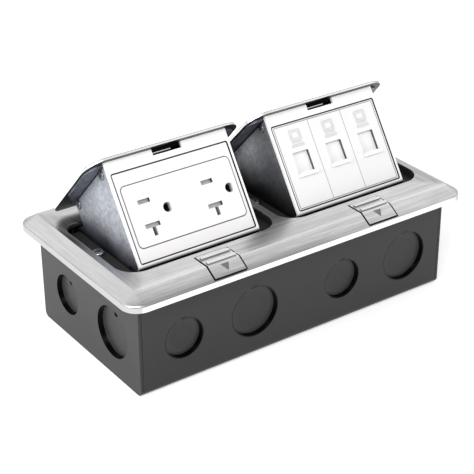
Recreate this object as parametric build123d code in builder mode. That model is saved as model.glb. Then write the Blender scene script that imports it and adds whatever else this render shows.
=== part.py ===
"""Two-gang pop-up floor box: a steel back box, a stainless cover frame and two sprung modules.

The left module carries a duplex 20 A receptacle and the right one three data sockets.
Both stand open. X runs along the box, -Y is the side that the sockets face, +Z is up, and
the origin is the middle of the box's underside. Millimetres and degrees.
"""
from build123d import *
from math import acos, atan, atan2, cos, hypot, radians, sin, tan
import os

os.makedirs("parts", exist_ok=True)

# Back box
box_length = 199.4
box_width = 99.4
box_height = 60.2
box_sheet = 1.3
box_bend = 3.0
knockout_small = 22.6
knockout_large = 28.8
knockout_height = 25.6
knockout_set = 2.8
knockout_near = 29.0
knockout_far = 73.0
end_knockout_small_y = 22.5
end_knockout_large_y = -23.5
fixing_hole = 5.2
fixing_spacing_x = 150.0
fixing_spacing_y = 64.0

# Cover frame
cover_length = 217.0
cover_width = 117.0
cover_rise = 2.5
cover_sheet = 1.2
cover_corner = 9.5
lip_height = 3.5
bevel_drop = 4.8
bevel_run = 7.8
bar_width = 4.4
opening_length = 94.8
opening_front = 36.0
opening_back = 29.0
opening_front_radius = 12.0
opening_back_radius = 8.0
crease_radius = 1.2
opening_round = 0.3

# Inner frame under the cover
inner_sheet = 1.2
ledge_drop = 4.9
module_clearance = 1.2
frame_gap = 0.2

# Hinge
hinge_y = 38.5
hinge_drop = 15.7
open_angle = 46.0
rod_diameter = 4.0
running_fit = 0.05
boss_radius = 5.5
ear_gap = 1.6

# Module
lid_sheet = 1.5
lid_gap = 0.5
lid_back_gap = 1.8
lid_front_radius = 11.5
lid_back_radius = 8.5
lid_overhang = 3.6
backing_sheet = 1.0
face_angle = 78.0
face_width = 73.4
face_height = 57.4
face_sheet = 1.6
face_nose = 3.0
window_width = 70.4
window_top = 6.6
window_rest = 3.4
slot_width = 17.6
slot_height = 3.3
cheek_sheet = 1.2
cheek_depth = 46.2
insert_gap = 0.3
insert_sheet = 2.2
insert_rim = 1.2
insert_depth = 6.5

# Receptacle
outlet_width = 65.4
outlet_margin = 7.5
outlet_proud = 0.3
outlet_sheet = 3.5
outlet_pitch = 38.1
blade_pitch = 12.7
ground_pitch = 11.9
blade_length = 7.1
blade_slot = 2.0
ground_slot = 5.0
body_length = 62.0
body_height = 31.0
body_depth = 19.5

# Data sockets
data_pitch = 22.5
data_margin = 1.2
data_sheet = 2.0
shutter_width = 10.6
shutter_height = 12.2
shutter_travel = 11.0
jack_width = 16.4
jack_height = 17.2
jack_depth = 22.0
port_width = 11.8
port_height = 8.4
port_depth = 13.0

# Latch
latch_width = 19.4
latch_back = 39.9
latch_gap = 0.6
latch_travel = 3.0
tongue_width = 14.4
tongue_tip = 33.2
tongue_sheet = 1.4

# Small hardware
screw_clearance = 0.25
thread_fit = 0.05

# Sizes that follow
half_length = box_length / 2
half_width = box_width / 2
module_x = (bar_width + opening_length) / 2
cover_top = box_height + cover_rise
hinge_z = cover_top - hinge_drop
lip_bottom = cover_top - bevel_drop - lip_height
lip_top = lip_bottom + lip_height
cover_under = cover_top - cover_sheet
ledge_top = cover_top - ledge_drop
ledge_under = ledge_top - inner_sheet
aperture = face_width / 2 + module_clearance
lid_under = cover_top - lid_sheet - hinge_z
lid_front = -(hinge_y + opening_front - lid_gap)
lid_back = opening_back - lid_back_gap - hinge_y
face_top = lid_front + lid_overhang
window_height = face_height - window_top - window_rest
outlet_height = window_height - 2 * outlet_margin
data_height = window_height - 2 * data_margin
turn = radians(open_angle)
lean = radians(face_angle)


def write(piece, name):
    """Label a finished piece and write its STEP file."""
    piece.part.label = name
    export_step(piece.part, f"parts/{name}.step")


def round_box(plane, left, low, right, high, radii):
    """A rectangle whose four corners have their own radii, counted anticlockwise from low left."""
    with BuildSketch(plane) as outline:
        with BuildLine():
            FilletPolyline(
                (left, low), (right, low), (right, high), (left, high), radius=radii, close=True
            )
        make_face()
    return outline.sketch


def polygon(plane, points, radii=0.0):
    """A closed outline through a few points, with rounded corners where asked."""
    with BuildSketch(plane) as outline:
        with BuildLine():
            FilletPolyline(*points, radius=radii, close=True)
        make_face()
    return outline.sketch


def disc(plane, across, up, radius):
    """A circle at a place on a plane."""
    with BuildSketch(plane) as outline:
        with Locations((across, up)):
            Circle(radius)
    return outline.sketch


def block(plane, across, up, width, height):
    """A rectangle centred on a place on a plane."""
    with BuildSketch(plane) as outline:
        with Locations((across, up)):
            Rectangle(width, height)
    return outline.sketch


def swung(back, up):
    """World Y and Z of a module point given back from and above the hinge with the lid shut."""
    return (
        hinge_y + back * cos(turn) + up * sin(turn),
        hinge_z - back * sin(turn) + up * cos(turn),
    )


def side_plane(x):
    """The module's side view at one X: across is back from the hinge, up is above it, lid shut."""
    return Plane(origin=(x, hinge_y, hinge_z), x_dir=(0, cos(turn), -sin(turn)), z_dir=(1, 0, 0))


def lid_plane(x, up):
    """A plane parallel to the lid: across is along X, up is back from the hinge."""
    y, z = swung(0, up)
    return Plane(origin=(x, y, z), x_dir=(1, 0, 0), z_dir=(0, sin(turn), cos(turn)))


def face_point(down, inward):
    """Side-view place of a point so far down the module's face and so deep behind it."""
    return (
        face_top + down * cos(lean) + inward * sin(lean),
        lid_under - down * sin(lean) + inward * cos(lean),
    )


def face_plane(x, inward=0.0):
    """The module's face: across is along X, up is measured from its top edge, out is the normal."""
    y, z = swung(*face_point(0, inward))
    tilt = turn + lean
    return Plane(origin=(x, y, z), x_dir=(1, 0, 0), z_dir=(0, -sin(tilt), -cos(tilt)))


def flat(height):
    """The horizontal plane at one height."""
    return Plane.XY.offset(height)


# Back box: a folded sheet makes front, floor and back, and a plate closes each end

front_wall = Plane(origin=(0, -half_width, 0), x_dir=(1, 0, 0), z_dir=(0, -1, 0))
back_wall = Plane(origin=(0, half_width, 0), x_dir=(-1, 0, 0), z_dir=(0, 1, 0))
knockout_land = 1.4
tie_width = 3.2
tie_reach = 0.9
tie_angle = 105
pry_hole = 1.5
pry_inset = 4.8


def knockout_backing(wall, across, radius):
    """The disc pushed inwards, with the land that joins it to the wall."""
    return disc(wall, across, knockout_height, radius + knockout_land)


def knockout_edge(wall, across, radius):
    """The punched line of one knockout: a circle with the small tie that still holds the disc."""
    with BuildSketch(wall) as outline:
        with Locations((across, knockout_height)):
            Circle(radius)
            with PolarLocations(radius, 1, start_angle=tie_angle):
                Rectangle(2 * tie_reach, tie_width)
    return outline.sketch


wall_knockouts = (
    (-knockout_far, knockout_small / 2),
    (-knockout_near, knockout_large / 2),
    (knockout_near, knockout_small / 2),
    (knockout_far, knockout_large / 2),
)
shell_end = half_length - box_sheet
ground_x = -half_length + 7.4
ground_y = 28.0
ground_screw_radius = 2.0

with BuildPart() as box_shell:
    shell_plane = Plane.YZ.offset(-shell_end)
    extrude(
        round_box(shell_plane, -half_width, 0, half_width, box_height, (box_bend, box_bend, 0, 0)),
        amount=2 * shell_end,
    )
    bend_inside = box_bend - box_sheet
    hollow_half = half_width - box_sheet
    extrude(
        round_box(
            shell_plane, -hollow_half, box_sheet, hollow_half, 2 * box_height,
            (bend_inside, bend_inside, 0, 0),
        ),
        amount=2 * shell_end,
        mode=Mode.SUBTRACT,
    )
    for wall in (front_wall, back_wall):
        for across, radius in wall_knockouts:
            extrude(knockout_backing(wall, across, radius), amount=-(box_sheet + knockout_set))
            edge = knockout_edge(wall, across, radius)
            extrude(edge, amount=-knockout_set, mode=Mode.SUBTRACT)
    with BuildSketch(flat(0)) as floor_holes:
        with GridLocations(fixing_spacing_x, fixing_spacing_y, 2, 2):
            Circle(fixing_hole / 2)
        with Locations((ground_x, ground_y)):
            Circle(ground_screw_radius + thread_fit)
    extrude(amount=box_sheet, mode=Mode.SUBTRACT)
write(box_shell, "box_shell")

ear_width = 16.0
ear_reach = module_x - aperture - bar_width / 2
screw_offset = (aperture + opening_length / 2) / 2
screw_radius = 1.75
ear_top = ledge_under

for end_name, side in (("left", -1), ("right", 1)):
    end_wall = Plane(origin=(side * half_length, 0, 0), x_dir=(0, side, 0), z_dir=(side, 0, 0))
    end_knockouts = (
        (side * end_knockout_small_y, knockout_small / 2),
        (side * end_knockout_large_y, knockout_large / 2),
    )
    with BuildPart() as box_end:
        extrude(
            round_box(
                end_wall, -half_width, 0, half_width, box_height, (box_bend, box_bend, 0, 0)
            ),
            amount=-box_sheet,
        )
        for across, radius in end_knockouts:
            extrude(knockout_backing(end_wall, across, radius), amount=-(box_sheet + knockout_set))
            extrude(
                disc(end_wall, across, knockout_height, radius),
                amount=-knockout_set,
                mode=Mode.SUBTRACT,
            )
            extrude(
                disc(end_wall, across, knockout_height + radius - pry_inset, pry_hole),
                amount=-2 * (box_sheet + knockout_set),
                mode=Mode.SUBTRACT,
            )
        # The ear that takes the frame screw is folded in from the top edge
        ear_end = module_x + aperture
        ear_middle = side * (half_length + ear_end) / 2
        extrude(
            block(flat(ear_top), ear_middle, 0, half_length - ear_end, ear_width),
            amount=-box_sheet,
        )
        extrude(
            disc(flat(ear_top), side * (module_x + screw_offset), 0, screw_radius + thread_fit),
            amount=-box_sheet,
            mode=Mode.SUBTRACT,
        )
    write(box_end, f"box_end_{end_name}")

# Divider between the power and data sides, with a cross head for the two middle screws

with BuildPart() as box_divider:
    divider_half = half_width - box_sheet - frame_gap
    extrude(
        round_box(
            Plane.YZ.offset(-box_sheet / 2), -divider_half, box_sheet, divider_half, ear_top,
            (box_bend - box_sheet, box_bend - box_sheet, 0, 0),
        ),
        amount=box_sheet,
    )
    head_half = module_x - aperture
    extrude(block(flat(ear_top), 0, 0, 2 * head_half, ear_width), amount=-box_sheet)
    with BuildSketch(flat(ear_top)):
        with Locations((screw_offset - module_x, 0), (module_x - screw_offset, 0)):
            Circle(screw_radius + thread_fit)
    extrude(amount=-box_sheet, mode=Mode.SUBTRACT)
write(box_divider, "box_divider")

with BuildPart() as ground_screw:
    with BuildSketch(flat(box_sheet)):
        with Locations((ground_x, ground_y)):
            RegularPolygon(radius=3.9, side_count=6)
    extrude(amount=1.9)
    extrude(disc(flat(0), ground_x, ground_y, ground_screw_radius), amount=box_sheet)
write(ground_screw, "ground_screw")

# Inner frame: a pressed steel plate that carries the hinges, the latches and the cover

inner_half_length = half_length - box_sheet - frame_gap
inner_half_width = half_width - box_sheet - frame_gap
ledge_front = -30.0
ledge_back = 27.0
pan_depth = ledge_back - ledge_front
pan_middle = (ledge_back + ledge_front) / 2
border_under = cover_under - inner_sheet
ear_inside = face_width / 2 + ear_gap
ear_half_width = 6.0
stud_radius = 1.5
stud_x = module_x + 43.0
stud_y = 42.5
latch_screw_x = 13.5
latch_screw_y = 42.0
latch_screw_radius = 1.25
slot_half = latch_width / 2 + latch_gap

with BuildPart() as inner_frame:
    extrude(
        block(flat(border_under), 0, 0, 2 * inner_half_length, 2 * inner_half_width),
        amount=inner_sheet,
    )
    for x in (-module_x, module_x):
        pan_length = opening_length + 2 * inner_sheet
        extrude(
            block(flat(ledge_under), x, pan_middle, pan_length, pan_depth),
            amount=cover_under - ledge_under,
        )
    for x in (-module_x, module_x):
        extrude(
            block(flat(ledge_top), x, pan_middle, opening_length, pan_depth),
            amount=cover_under - ledge_top,
            mode=Mode.SUBTRACT,
        )
        extrude(
            round_box(
                flat(border_under), x - opening_length / 2, -opening_front,
                x + opening_length / 2, opening_back,
                (opening_front_radius, opening_front_radius,
                 opening_back_radius, opening_back_radius),
            ),
            amount=inner_sheet,
            mode=Mode.SUBTRACT,
        )
        extrude(
            block(flat(ledge_under), x, pan_middle, 2 * aperture, pan_depth + 2),
            amount=cover_under - ledge_under,
            mode=Mode.SUBTRACT,
        )
        # Ears for the hinge rod, folded down behind the opening
        for side in (-1, 1):
            inside = x + side * ear_inside
            ear_plane = Plane.YZ.offset(inside)
            ear_rise = border_under - hinge_z
            with BuildSketch(ear_plane) as ear:
                with Locations((hinge_y, hinge_z)):
                    Circle(ear_half_width)
                with Locations((hinge_y, hinge_z + ear_rise / 2)):
                    Rectangle(2 * ear_half_width, ear_rise)
                with Locations((hinge_y, hinge_z)):
                    Circle(rod_diameter / 2 + running_fit, mode=Mode.SUBTRACT)
            extrude(ear.sketch, amount=side * inner_sheet)
        # The latch comes through the front border
        extrude(
            block(
                flat(border_under), x, -(opening_front + inner_half_width) / 2,
                2 * slot_half, inner_half_width - opening_front + 2,
            ),
            amount=inner_sheet,
            mode=Mode.SUBTRACT,
        )
    with BuildSketch(flat(ledge_under)):
        for x in (-module_x, module_x):
            for side in (-1, 1):
                with Locations((x + side * screw_offset, 0)):
                    Circle(screw_radius + screw_clearance)
    extrude(amount=inner_sheet, mode=Mode.SUBTRACT)
    with BuildSketch(flat(border_under)):
        with GridLocations(stud_x, 2 * stud_y, 3, 2):
            Circle(stud_radius + screw_clearance)
        for x in (-module_x, module_x):
            with Locations((x - latch_screw_x, -latch_screw_y), (x + latch_screw_x, -latch_screw_y)):
                Circle(latch_screw_radius + thread_fit)
    extrude(amount=inner_sheet, mode=Mode.SUBTRACT)
write(inner_frame, "inner_frame")


def pan_screw(seat, shank_length, head_radius, head_height, shank_radius):
    """One pan-head screw with a cross recess: its head stands on the seat plane."""
    along = Axis(seat.origin, seat.z_dir)
    with BuildPart() as screw:
        extrude(disc(seat, 0, 0, head_radius), amount=head_height)
        fillet(screw.edges().sort_by(along)[-1], 0.45 * head_height)
        with BuildSketch(seat.offset(head_height)) as cross:
            Rectangle(1.1 * head_radius, 0.24 * head_radius)
            Rectangle(0.24 * head_radius, 1.1 * head_radius)
        extrude(cross.sketch, amount=-0.5 * head_height, mode=Mode.SUBTRACT)
        extrude(disc(seat, 0, 0, shank_radius), amount=-shank_length)
    return screw.part


with BuildPart() as frame_screws:
    for x in (-module_x - screw_offset, -module_x + screw_offset,
              module_x - screw_offset, module_x + screw_offset):
        seat = Plane(origin=(x, 0, ledge_top))
        add(pan_screw(seat, 9.0, 3.4, 1.9, screw_radius))
write(frame_screws, "frame_screws")


# Cover frame: one pressed stainless sheet with a flat top, a bevel and a turned-down lip

slope = atan(bevel_drop / bevel_run)
inner_crease = lip_top + cover_sheet * (tan(slope) - 1 / cos(slope))
inner_inset = (cover_under - lip_top + cover_sheet / cos(slope)) / tan(slope)
stud_end = cover_under - 4.6
latch_floor = lip_top + 0.05


def cover_outline(height, inset):
    """The cover's outline at one height, moved inwards all round."""
    with BuildSketch(flat(height)) as outline:
        RectangleRounded(
            cover_length - 2 * inset, cover_width - 2 * inset, cover_corner - inset
        )
    return outline.sketch


with BuildPart() as cover_frame:
    extrude(cover_outline(lip_bottom, 0), amount=lip_height)
    loft([cover_outline(lip_top, 0), cover_outline(cover_top, bevel_run)], ruled=True)
    fillet(cover_frame.edges().group_by(Axis.Z)[-1], crease_radius)
    lip_crease = [edge for edge in cover_frame.edges() if abs(edge.center().Z - lip_top) < 0.01]
    fillet(lip_crease, crease_radius)
    extrude(
        cover_outline(lip_bottom, cover_sheet),
        amount=inner_crease - lip_bottom,
        mode=Mode.SUBTRACT,
    )
    loft(
        [cover_outline(inner_crease, cover_sheet), cover_outline(cover_under, inner_inset)],
        ruled=True,
        mode=Mode.SUBTRACT,
    )
    for x in (-module_x, module_x):
        extrude(
            round_box(
                flat(cover_under), x - opening_length / 2, -opening_front,
                x + opening_length / 2, opening_back,
                (opening_front_radius, opening_front_radius,
                 opening_back_radius, opening_back_radius),
            ),
            amount=cover_sheet,
            mode=Mode.SUBTRACT,
        )
        rim = [
            edge for edge in cover_frame.edges().group_by(Axis.Z)[-1]
            if abs(edge.center().X - x) < opening_length / 2 + 1
            and abs(edge.center().Y) < opening_front + 1
        ]
        fillet(rim, opening_round)
        slot_front = cover_width / 2 + 1
        slot_back = latch_back - latch_gap
        extrude(
            block(
                flat(latch_floor), x, -(slot_front + slot_back) / 2,
                2 * slot_half, slot_front - slot_back,
            ),
            amount=cover_top - latch_floor,
            mode=Mode.SUBTRACT,
        )
    with BuildSketch(flat(stud_end)):
        with GridLocations(stud_x, 2 * stud_y, 3, 2):
            Circle(stud_radius)
    extrude(amount=cover_under - stud_end)
write(cover_frame, "cover_frame")

nut_height = 2.4

with BuildPart() as cover_nuts:
    with BuildSketch(flat(border_under - nut_height)):
        with GridLocations(stud_x, 2 * stud_y, 3, 2):
            RegularPolygon(radius=3.1, side_count=6)
            Circle(stud_radius + thread_fit, mode=Mode.SUBTRACT)
    extrude(amount=nut_height)
write(cover_nuts, "cover_nuts")

gasket_gap = 0.3
gasket_height = 2.8

with BuildPart() as cover_gasket:
    extrude(cover_outline(lip_bottom, cover_sheet + gasket_gap), amount=gasket_height)
    extrude(
        block(
            flat(lip_bottom), 0, 0, box_length + 2 * gasket_gap, box_width + 2 * gasket_gap
        ),
        amount=gasket_height,
        mode=Mode.SUBTRACT,
    )
write(cover_gasket, "cover_gasket")

# Latches: a finger slide in the cover, a bolt under it, a moulded guide and a spring

button_proud = 0.2
button_sheet = 1.6
button_floor = lip_top + 0.4
crease_y = cover_width / 2 - bevel_run
button_top = cover_top + button_proud
button_under = button_top - button_sheet
rib_width = 1.8
rib_height = 1.1
rib_half = latch_width / 2 - 1.0
arrow_half = 2.65
arrow_start = 1.2
arrow_length = 4.6
arrow_depth = 0.5
bolt_top = button_under - 0.4
bolt_under = bolt_top - tongue_sheet
bolt_end = 45.0
lug_front = 41.5
lug_sheet = 1.5
lug_depth = 3.6
guide_top = bolt_under - 0.1
guide_under = guide_top - 4.9
guide_half = 9.0
guide_back = 37.3
guide_front = inner_half_width - 0.1
channel_half = 3.0
flange_reach = 8.0
flange_under = border_under - 2.5
spring_wire = 0.45
spring_radius = 1.4


def spring_coil(base, length, radius, wire, turns):
    """A helix of round wire standing on its base plane."""
    with BuildPart() as coil:
        with BuildLine() as path:
            Helix(pitch=(length - wire) / turns, height=length - wire, radius=radius)
        with BuildSketch(Plane(origin=path.line @ 0, z_dir=path.line % 0)) as section:
            Circle(wire / 2)
        sweep(sections=section.sketch, path=path.line, is_frenet=True)
    return coil.part.moved(base.location)


for side_name, x in (("left", -module_x), ("right", module_x)):
    across = Plane.YZ.offset(x - latch_width / 2)
    fall = tan(slope)
    lip_y = crease_y + (button_top - button_floor) / fall
    inner_y = crease_y + (button_under - button_floor) / fall
    with BuildPart() as latch_button:
        extrude(
            polygon(
                across,
                (
                    (-latch_back, button_under),
                    (-crease_y, button_under),
                    (-inner_y, button_floor),
                    (-lip_y, button_floor),
                    (-crease_y, button_top),
                    (-latch_back, button_top),
                ),
            ),
            amount=latch_width,
        )
        rib_places = (latch_back + 3.4, crease_y - 1.8)
        for rib_y in rib_places:
            with BuildSketch(Plane.YZ.offset(x - rib_half)) as rib:
                with BuildLine():
                    FilletPolyline(
                        (-rib_y - rib_width / 2, button_top - 0.2),
                        (-rib_y + rib_width / 2, button_top - 0.2),
                        (-rib_y + rib_width / 2, button_top + rib_height),
                        (-rib_y - rib_width / 2, button_top + rib_height),
                        radius=(0, 0, 0.5, 0.5),
                        close=True,
                    )
                make_face()
            extrude(rib.sketch, amount=2 * rib_half)
        bevel_face = Plane(
            origin=(x, -crease_y, button_top),
            x_dir=(1, 0, 0),
            z_dir=(0, -sin(slope), cos(slope)),
        )
        arrow = polygon(
            bevel_face,
            (
                (-arrow_half, -arrow_start),
                (0, -arrow_start - arrow_length),
                (arrow_half, -arrow_start),
            ),
        )
        extrude(arrow, amount=-arrow_depth, mode=Mode.SUBTRACT)
    write(latch_button, f"{side_name}_latch_button")

    with BuildPart() as latch_bolt:
        extrude(
            block(
                flat(bolt_under), x, -(bolt_end + tongue_tip) / 2,
                tongue_width, bolt_end - tongue_tip,
            ),
            amount=tongue_sheet,
        )
        tip_edge = latch_bolt.edges().group_by(Axis.Y)[-1].sort_by(Axis.Z)[-1]
        chamfer(tip_edge, 0.9)
        extrude(
            block(flat(bolt_top), x, -(bolt_end + lug_front) / 2, 10, bolt_end - lug_front),
            amount=button_under - bolt_top,
        )
        extrude(
            block(flat(bolt_under), x, -lug_front + lug_sheet / 2, 5, lug_sheet),
            amount=-lug_depth,
        )
    write(latch_bolt, f"{side_name}_latch_bolt")

    with BuildPart() as latch_guide:
        guide_middle = -(guide_front + guide_back) / 2
        guide_depth = guide_front - guide_back
        extrude(
            block(flat(guide_under), x, guide_middle, 2 * guide_half, guide_depth),
            amount=guide_top - guide_under,
        )
        for side in (-1, 1):
            middle = x + side * (guide_half + flange_reach / 2)
            extrude(
                block(flat(flange_under), middle, -latch_screw_y, flange_reach, 8.0),
                amount=border_under - flange_under,
            )
            extrude(
                disc(flat(flange_under), x + side * latch_screw_x, -latch_screw_y,
                     latch_screw_radius + screw_clearance),
                amount=border_under - flange_under,
                mode=Mode.SUBTRACT,
            )
        extrude(
            block(
                flat(guide_under + 1.0), x, guide_middle + 1.0, 2 * channel_half, guide_depth
            ),
            amount=guide_top - guide_under,
            mode=Mode.SUBTRACT,
        )
    write(latch_guide, f"{side_name}_latch_guide")

    spring_start = -guide_front + 1.0
    spring_base = Plane(
        origin=(x, spring_start + spring_wire / 2, bolt_under - lug_depth / 2),
        x_dir=(1, 0, 0),
        z_dir=(0, 1, 0),
    )
    with BuildPart() as latch_spring:
        spring_length = -lug_front - spring_start
        add(spring_coil(spring_base, spring_length, spring_radius, spring_wire, 5))
    write(latch_spring, f"{side_name}_latch_spring")

with BuildPart() as latch_screws:
    for x in (-module_x, module_x):
        for side in (-1, 1):
            seat = Plane(
                origin=(x + side * latch_screw_x, -latch_screw_y, flange_under),
                x_dir=(1, 0, 0),
                z_dir=(0, 0, -1),
            )
            shank = cover_under - flange_under - 0.1
            add(pan_screw(seat, shank, 2.3, 1.5, latch_screw_radius))
write(latch_screws, "latch_screws")

# Hinges: each module turns on a rod held by two ears, and two torsion springs push it open

rod_end = ear_inside + inner_sheet + 2.0
clip_gap = 0.1
clip_sheet = 0.8
washer_radius = 4.2
torsion_wire = 1.2
torsion_radius = 2.95
torsion_turns = 5.25
torsion_start = 27.0
torsion_length = 7.2

with BuildPart() as hinge_rods:
    for x in (-module_x, module_x):
        rod_plane = Plane(origin=(x - rod_end, hinge_y, hinge_z), z_dir=(1, 0, 0))
        extrude(disc(rod_plane, 0, 0, rod_diameter / 2), amount=2 * rod_end)
        for side in (-1, 1):
            groove = ear_inside + inner_sheet + clip_gap
            start = x + min(side * groove, side * (groove + clip_sheet))
            with BuildSketch(Plane(origin=(start, hinge_y, hinge_z), z_dir=(1, 0, 0))) as ring:
                Circle(rod_diameter)
                Circle(rod_diameter / 2 - 0.5, mode=Mode.SUBTRACT)
            extrude(ring.sketch, amount=clip_sheet, mode=Mode.SUBTRACT)
write(hinge_rods, "hinge_rods")

with BuildPart() as hinge_clips:
    for x in (-module_x, module_x):
        for side in (-1, 1):
            groove = ear_inside + inner_sheet + clip_gap
            start = x + min(side * groove, side * (groove + clip_sheet)) + 0.05
            clip_plane = Plane(origin=(start, hinge_y, hinge_z), x_dir=(0, 1, 0), z_dir=(1, 0, 0))
            with BuildSketch(clip_plane) as clip:
                Circle(3.6)
                Circle(rod_diameter / 2 - 0.45, mode=Mode.SUBTRACT)
                with Locations((0, -3)):
                    Rectangle(2.4, 6, mode=Mode.SUBTRACT)
            extrude(clip.sketch, amount=clip_sheet - 0.1)
write(hinge_clips, "hinge_clips")

with BuildPart() as hinge_washers:
    for x in (-module_x, module_x):
        for side in (-1, 1):
            inside = face_width / 2 + running_fit
            start = x + min(side * inside, side * (ear_inside - running_fit))
            with BuildSketch(Plane(origin=(start, hinge_y, hinge_z), z_dir=(1, 0, 0))) as ring:
                Circle(washer_radius)
                Circle(rod_diameter / 2 + running_fit, mode=Mode.SUBTRACT)
            extrude(ring.sketch, amount=ear_inside - face_width / 2 - 2 * running_fit)
write(hinge_washers, "hinge_washers")

rest_leg = 25.0
fixed_leg = border_under - hinge_z - 0.6

# One leg rests on the back of the module, the other under the inner frame's border
with BuildPart() as torsion_coil:
    with BuildLine() as torsion_path:
        coil = Helix(
            pitch=(torsion_length - torsion_wire) / torsion_turns,
            height=torsion_length - torsion_wire,
            radius=torsion_radius,
        )
        first = coil @ 0
        away = coil % 0
        Line((first.X - rest_leg * away.X, first.Y - rest_leg * away.Y, first.Z), first)
        last = coil @ 1
        away = coil % 1
        Line(last, (last.X + fixed_leg * away.X, last.Y + fixed_leg * away.Y, last.Z))
    with BuildSketch(Plane(origin=coil @ 0.5, z_dir=coil % 0.5)) as torsion_section:
        Circle(torsion_wire / 2)
    sweep(sections=torsion_section.sketch, path=torsion_path.line)

for side_name, x in (("left", -module_x), ("right", module_x)):
    with BuildPart() as torsion_spring:
        coil_plane = Plane(
            origin=(x + torsion_start + torsion_wire / 2, hinge_y, hinge_z),
            x_dir=(0, 0, -1),
            z_dir=(1, 0, 0),
        )
        add(torsion_coil.part.moved(coil_plane.location))
        mirror(about=Plane.YZ.offset(x))
    write(torsion_spring, f"{side_name}_hinge_springs")


def boss_touch(point, sense):
    """Where a line from a point touches the hinge boss."""
    angle = atan2(point[1], point[0]) + sense * acos(boss_radius / hypot(*point))
    return (boss_radius * cos(angle), boss_radius * sin(angle))


def depth_point(height, inward):
    """Side-view place at one height above the hinge and one depth behind the face."""
    down = (lid_under + inward * cos(lean) - height) / sin(lean)
    return face_point(down, inward)


def insert_plane(x, inward):
    """A plane parallel to the face whose origin is the middle of its window."""
    y, z = swung(*face_point(window_top + window_height / 2, inward))
    tilt = turn + lean
    return Plane(origin=(x, y, z), x_dir=(1, 0, 0), z_dir=(0, -sin(tilt), -cos(tilt)))


# Modules: lid, its backing plate, a folded housing and the moulded face frame

lid_half = opening_length / 2 - lid_gap
cheek_out = face_width / 2
cheek_in = cheek_out - cheek_sheet
cheek_top = lid_under - backing_sheet
return_depth = 6.0
return_down = face_height - face_sheet
cheek_bottom = face_point(return_down, return_depth)[1]
backing_half = 45.2
backing_front = -68.4
backing_taper = -36.5
backing_back = -18.0
tab_inside = cheek_in - 1.0
upper_screws = (-63.0, -26.0)
upper_screw_h = 10.5
lower_screw = face_point(face_height - 3.3, 9.7)
housing_screw_radius = 1.25
rear_inward = cheek_depth - cheek_sheet
keeper_half = slot_width / 2 + 1.2
keeper_sheet = 0.8
keeper_floor = slot_height + 1.1
keeper_depth = 7.6
cable_width = 30.0
cable_height = 14.0
cable_v = -12.0

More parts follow.
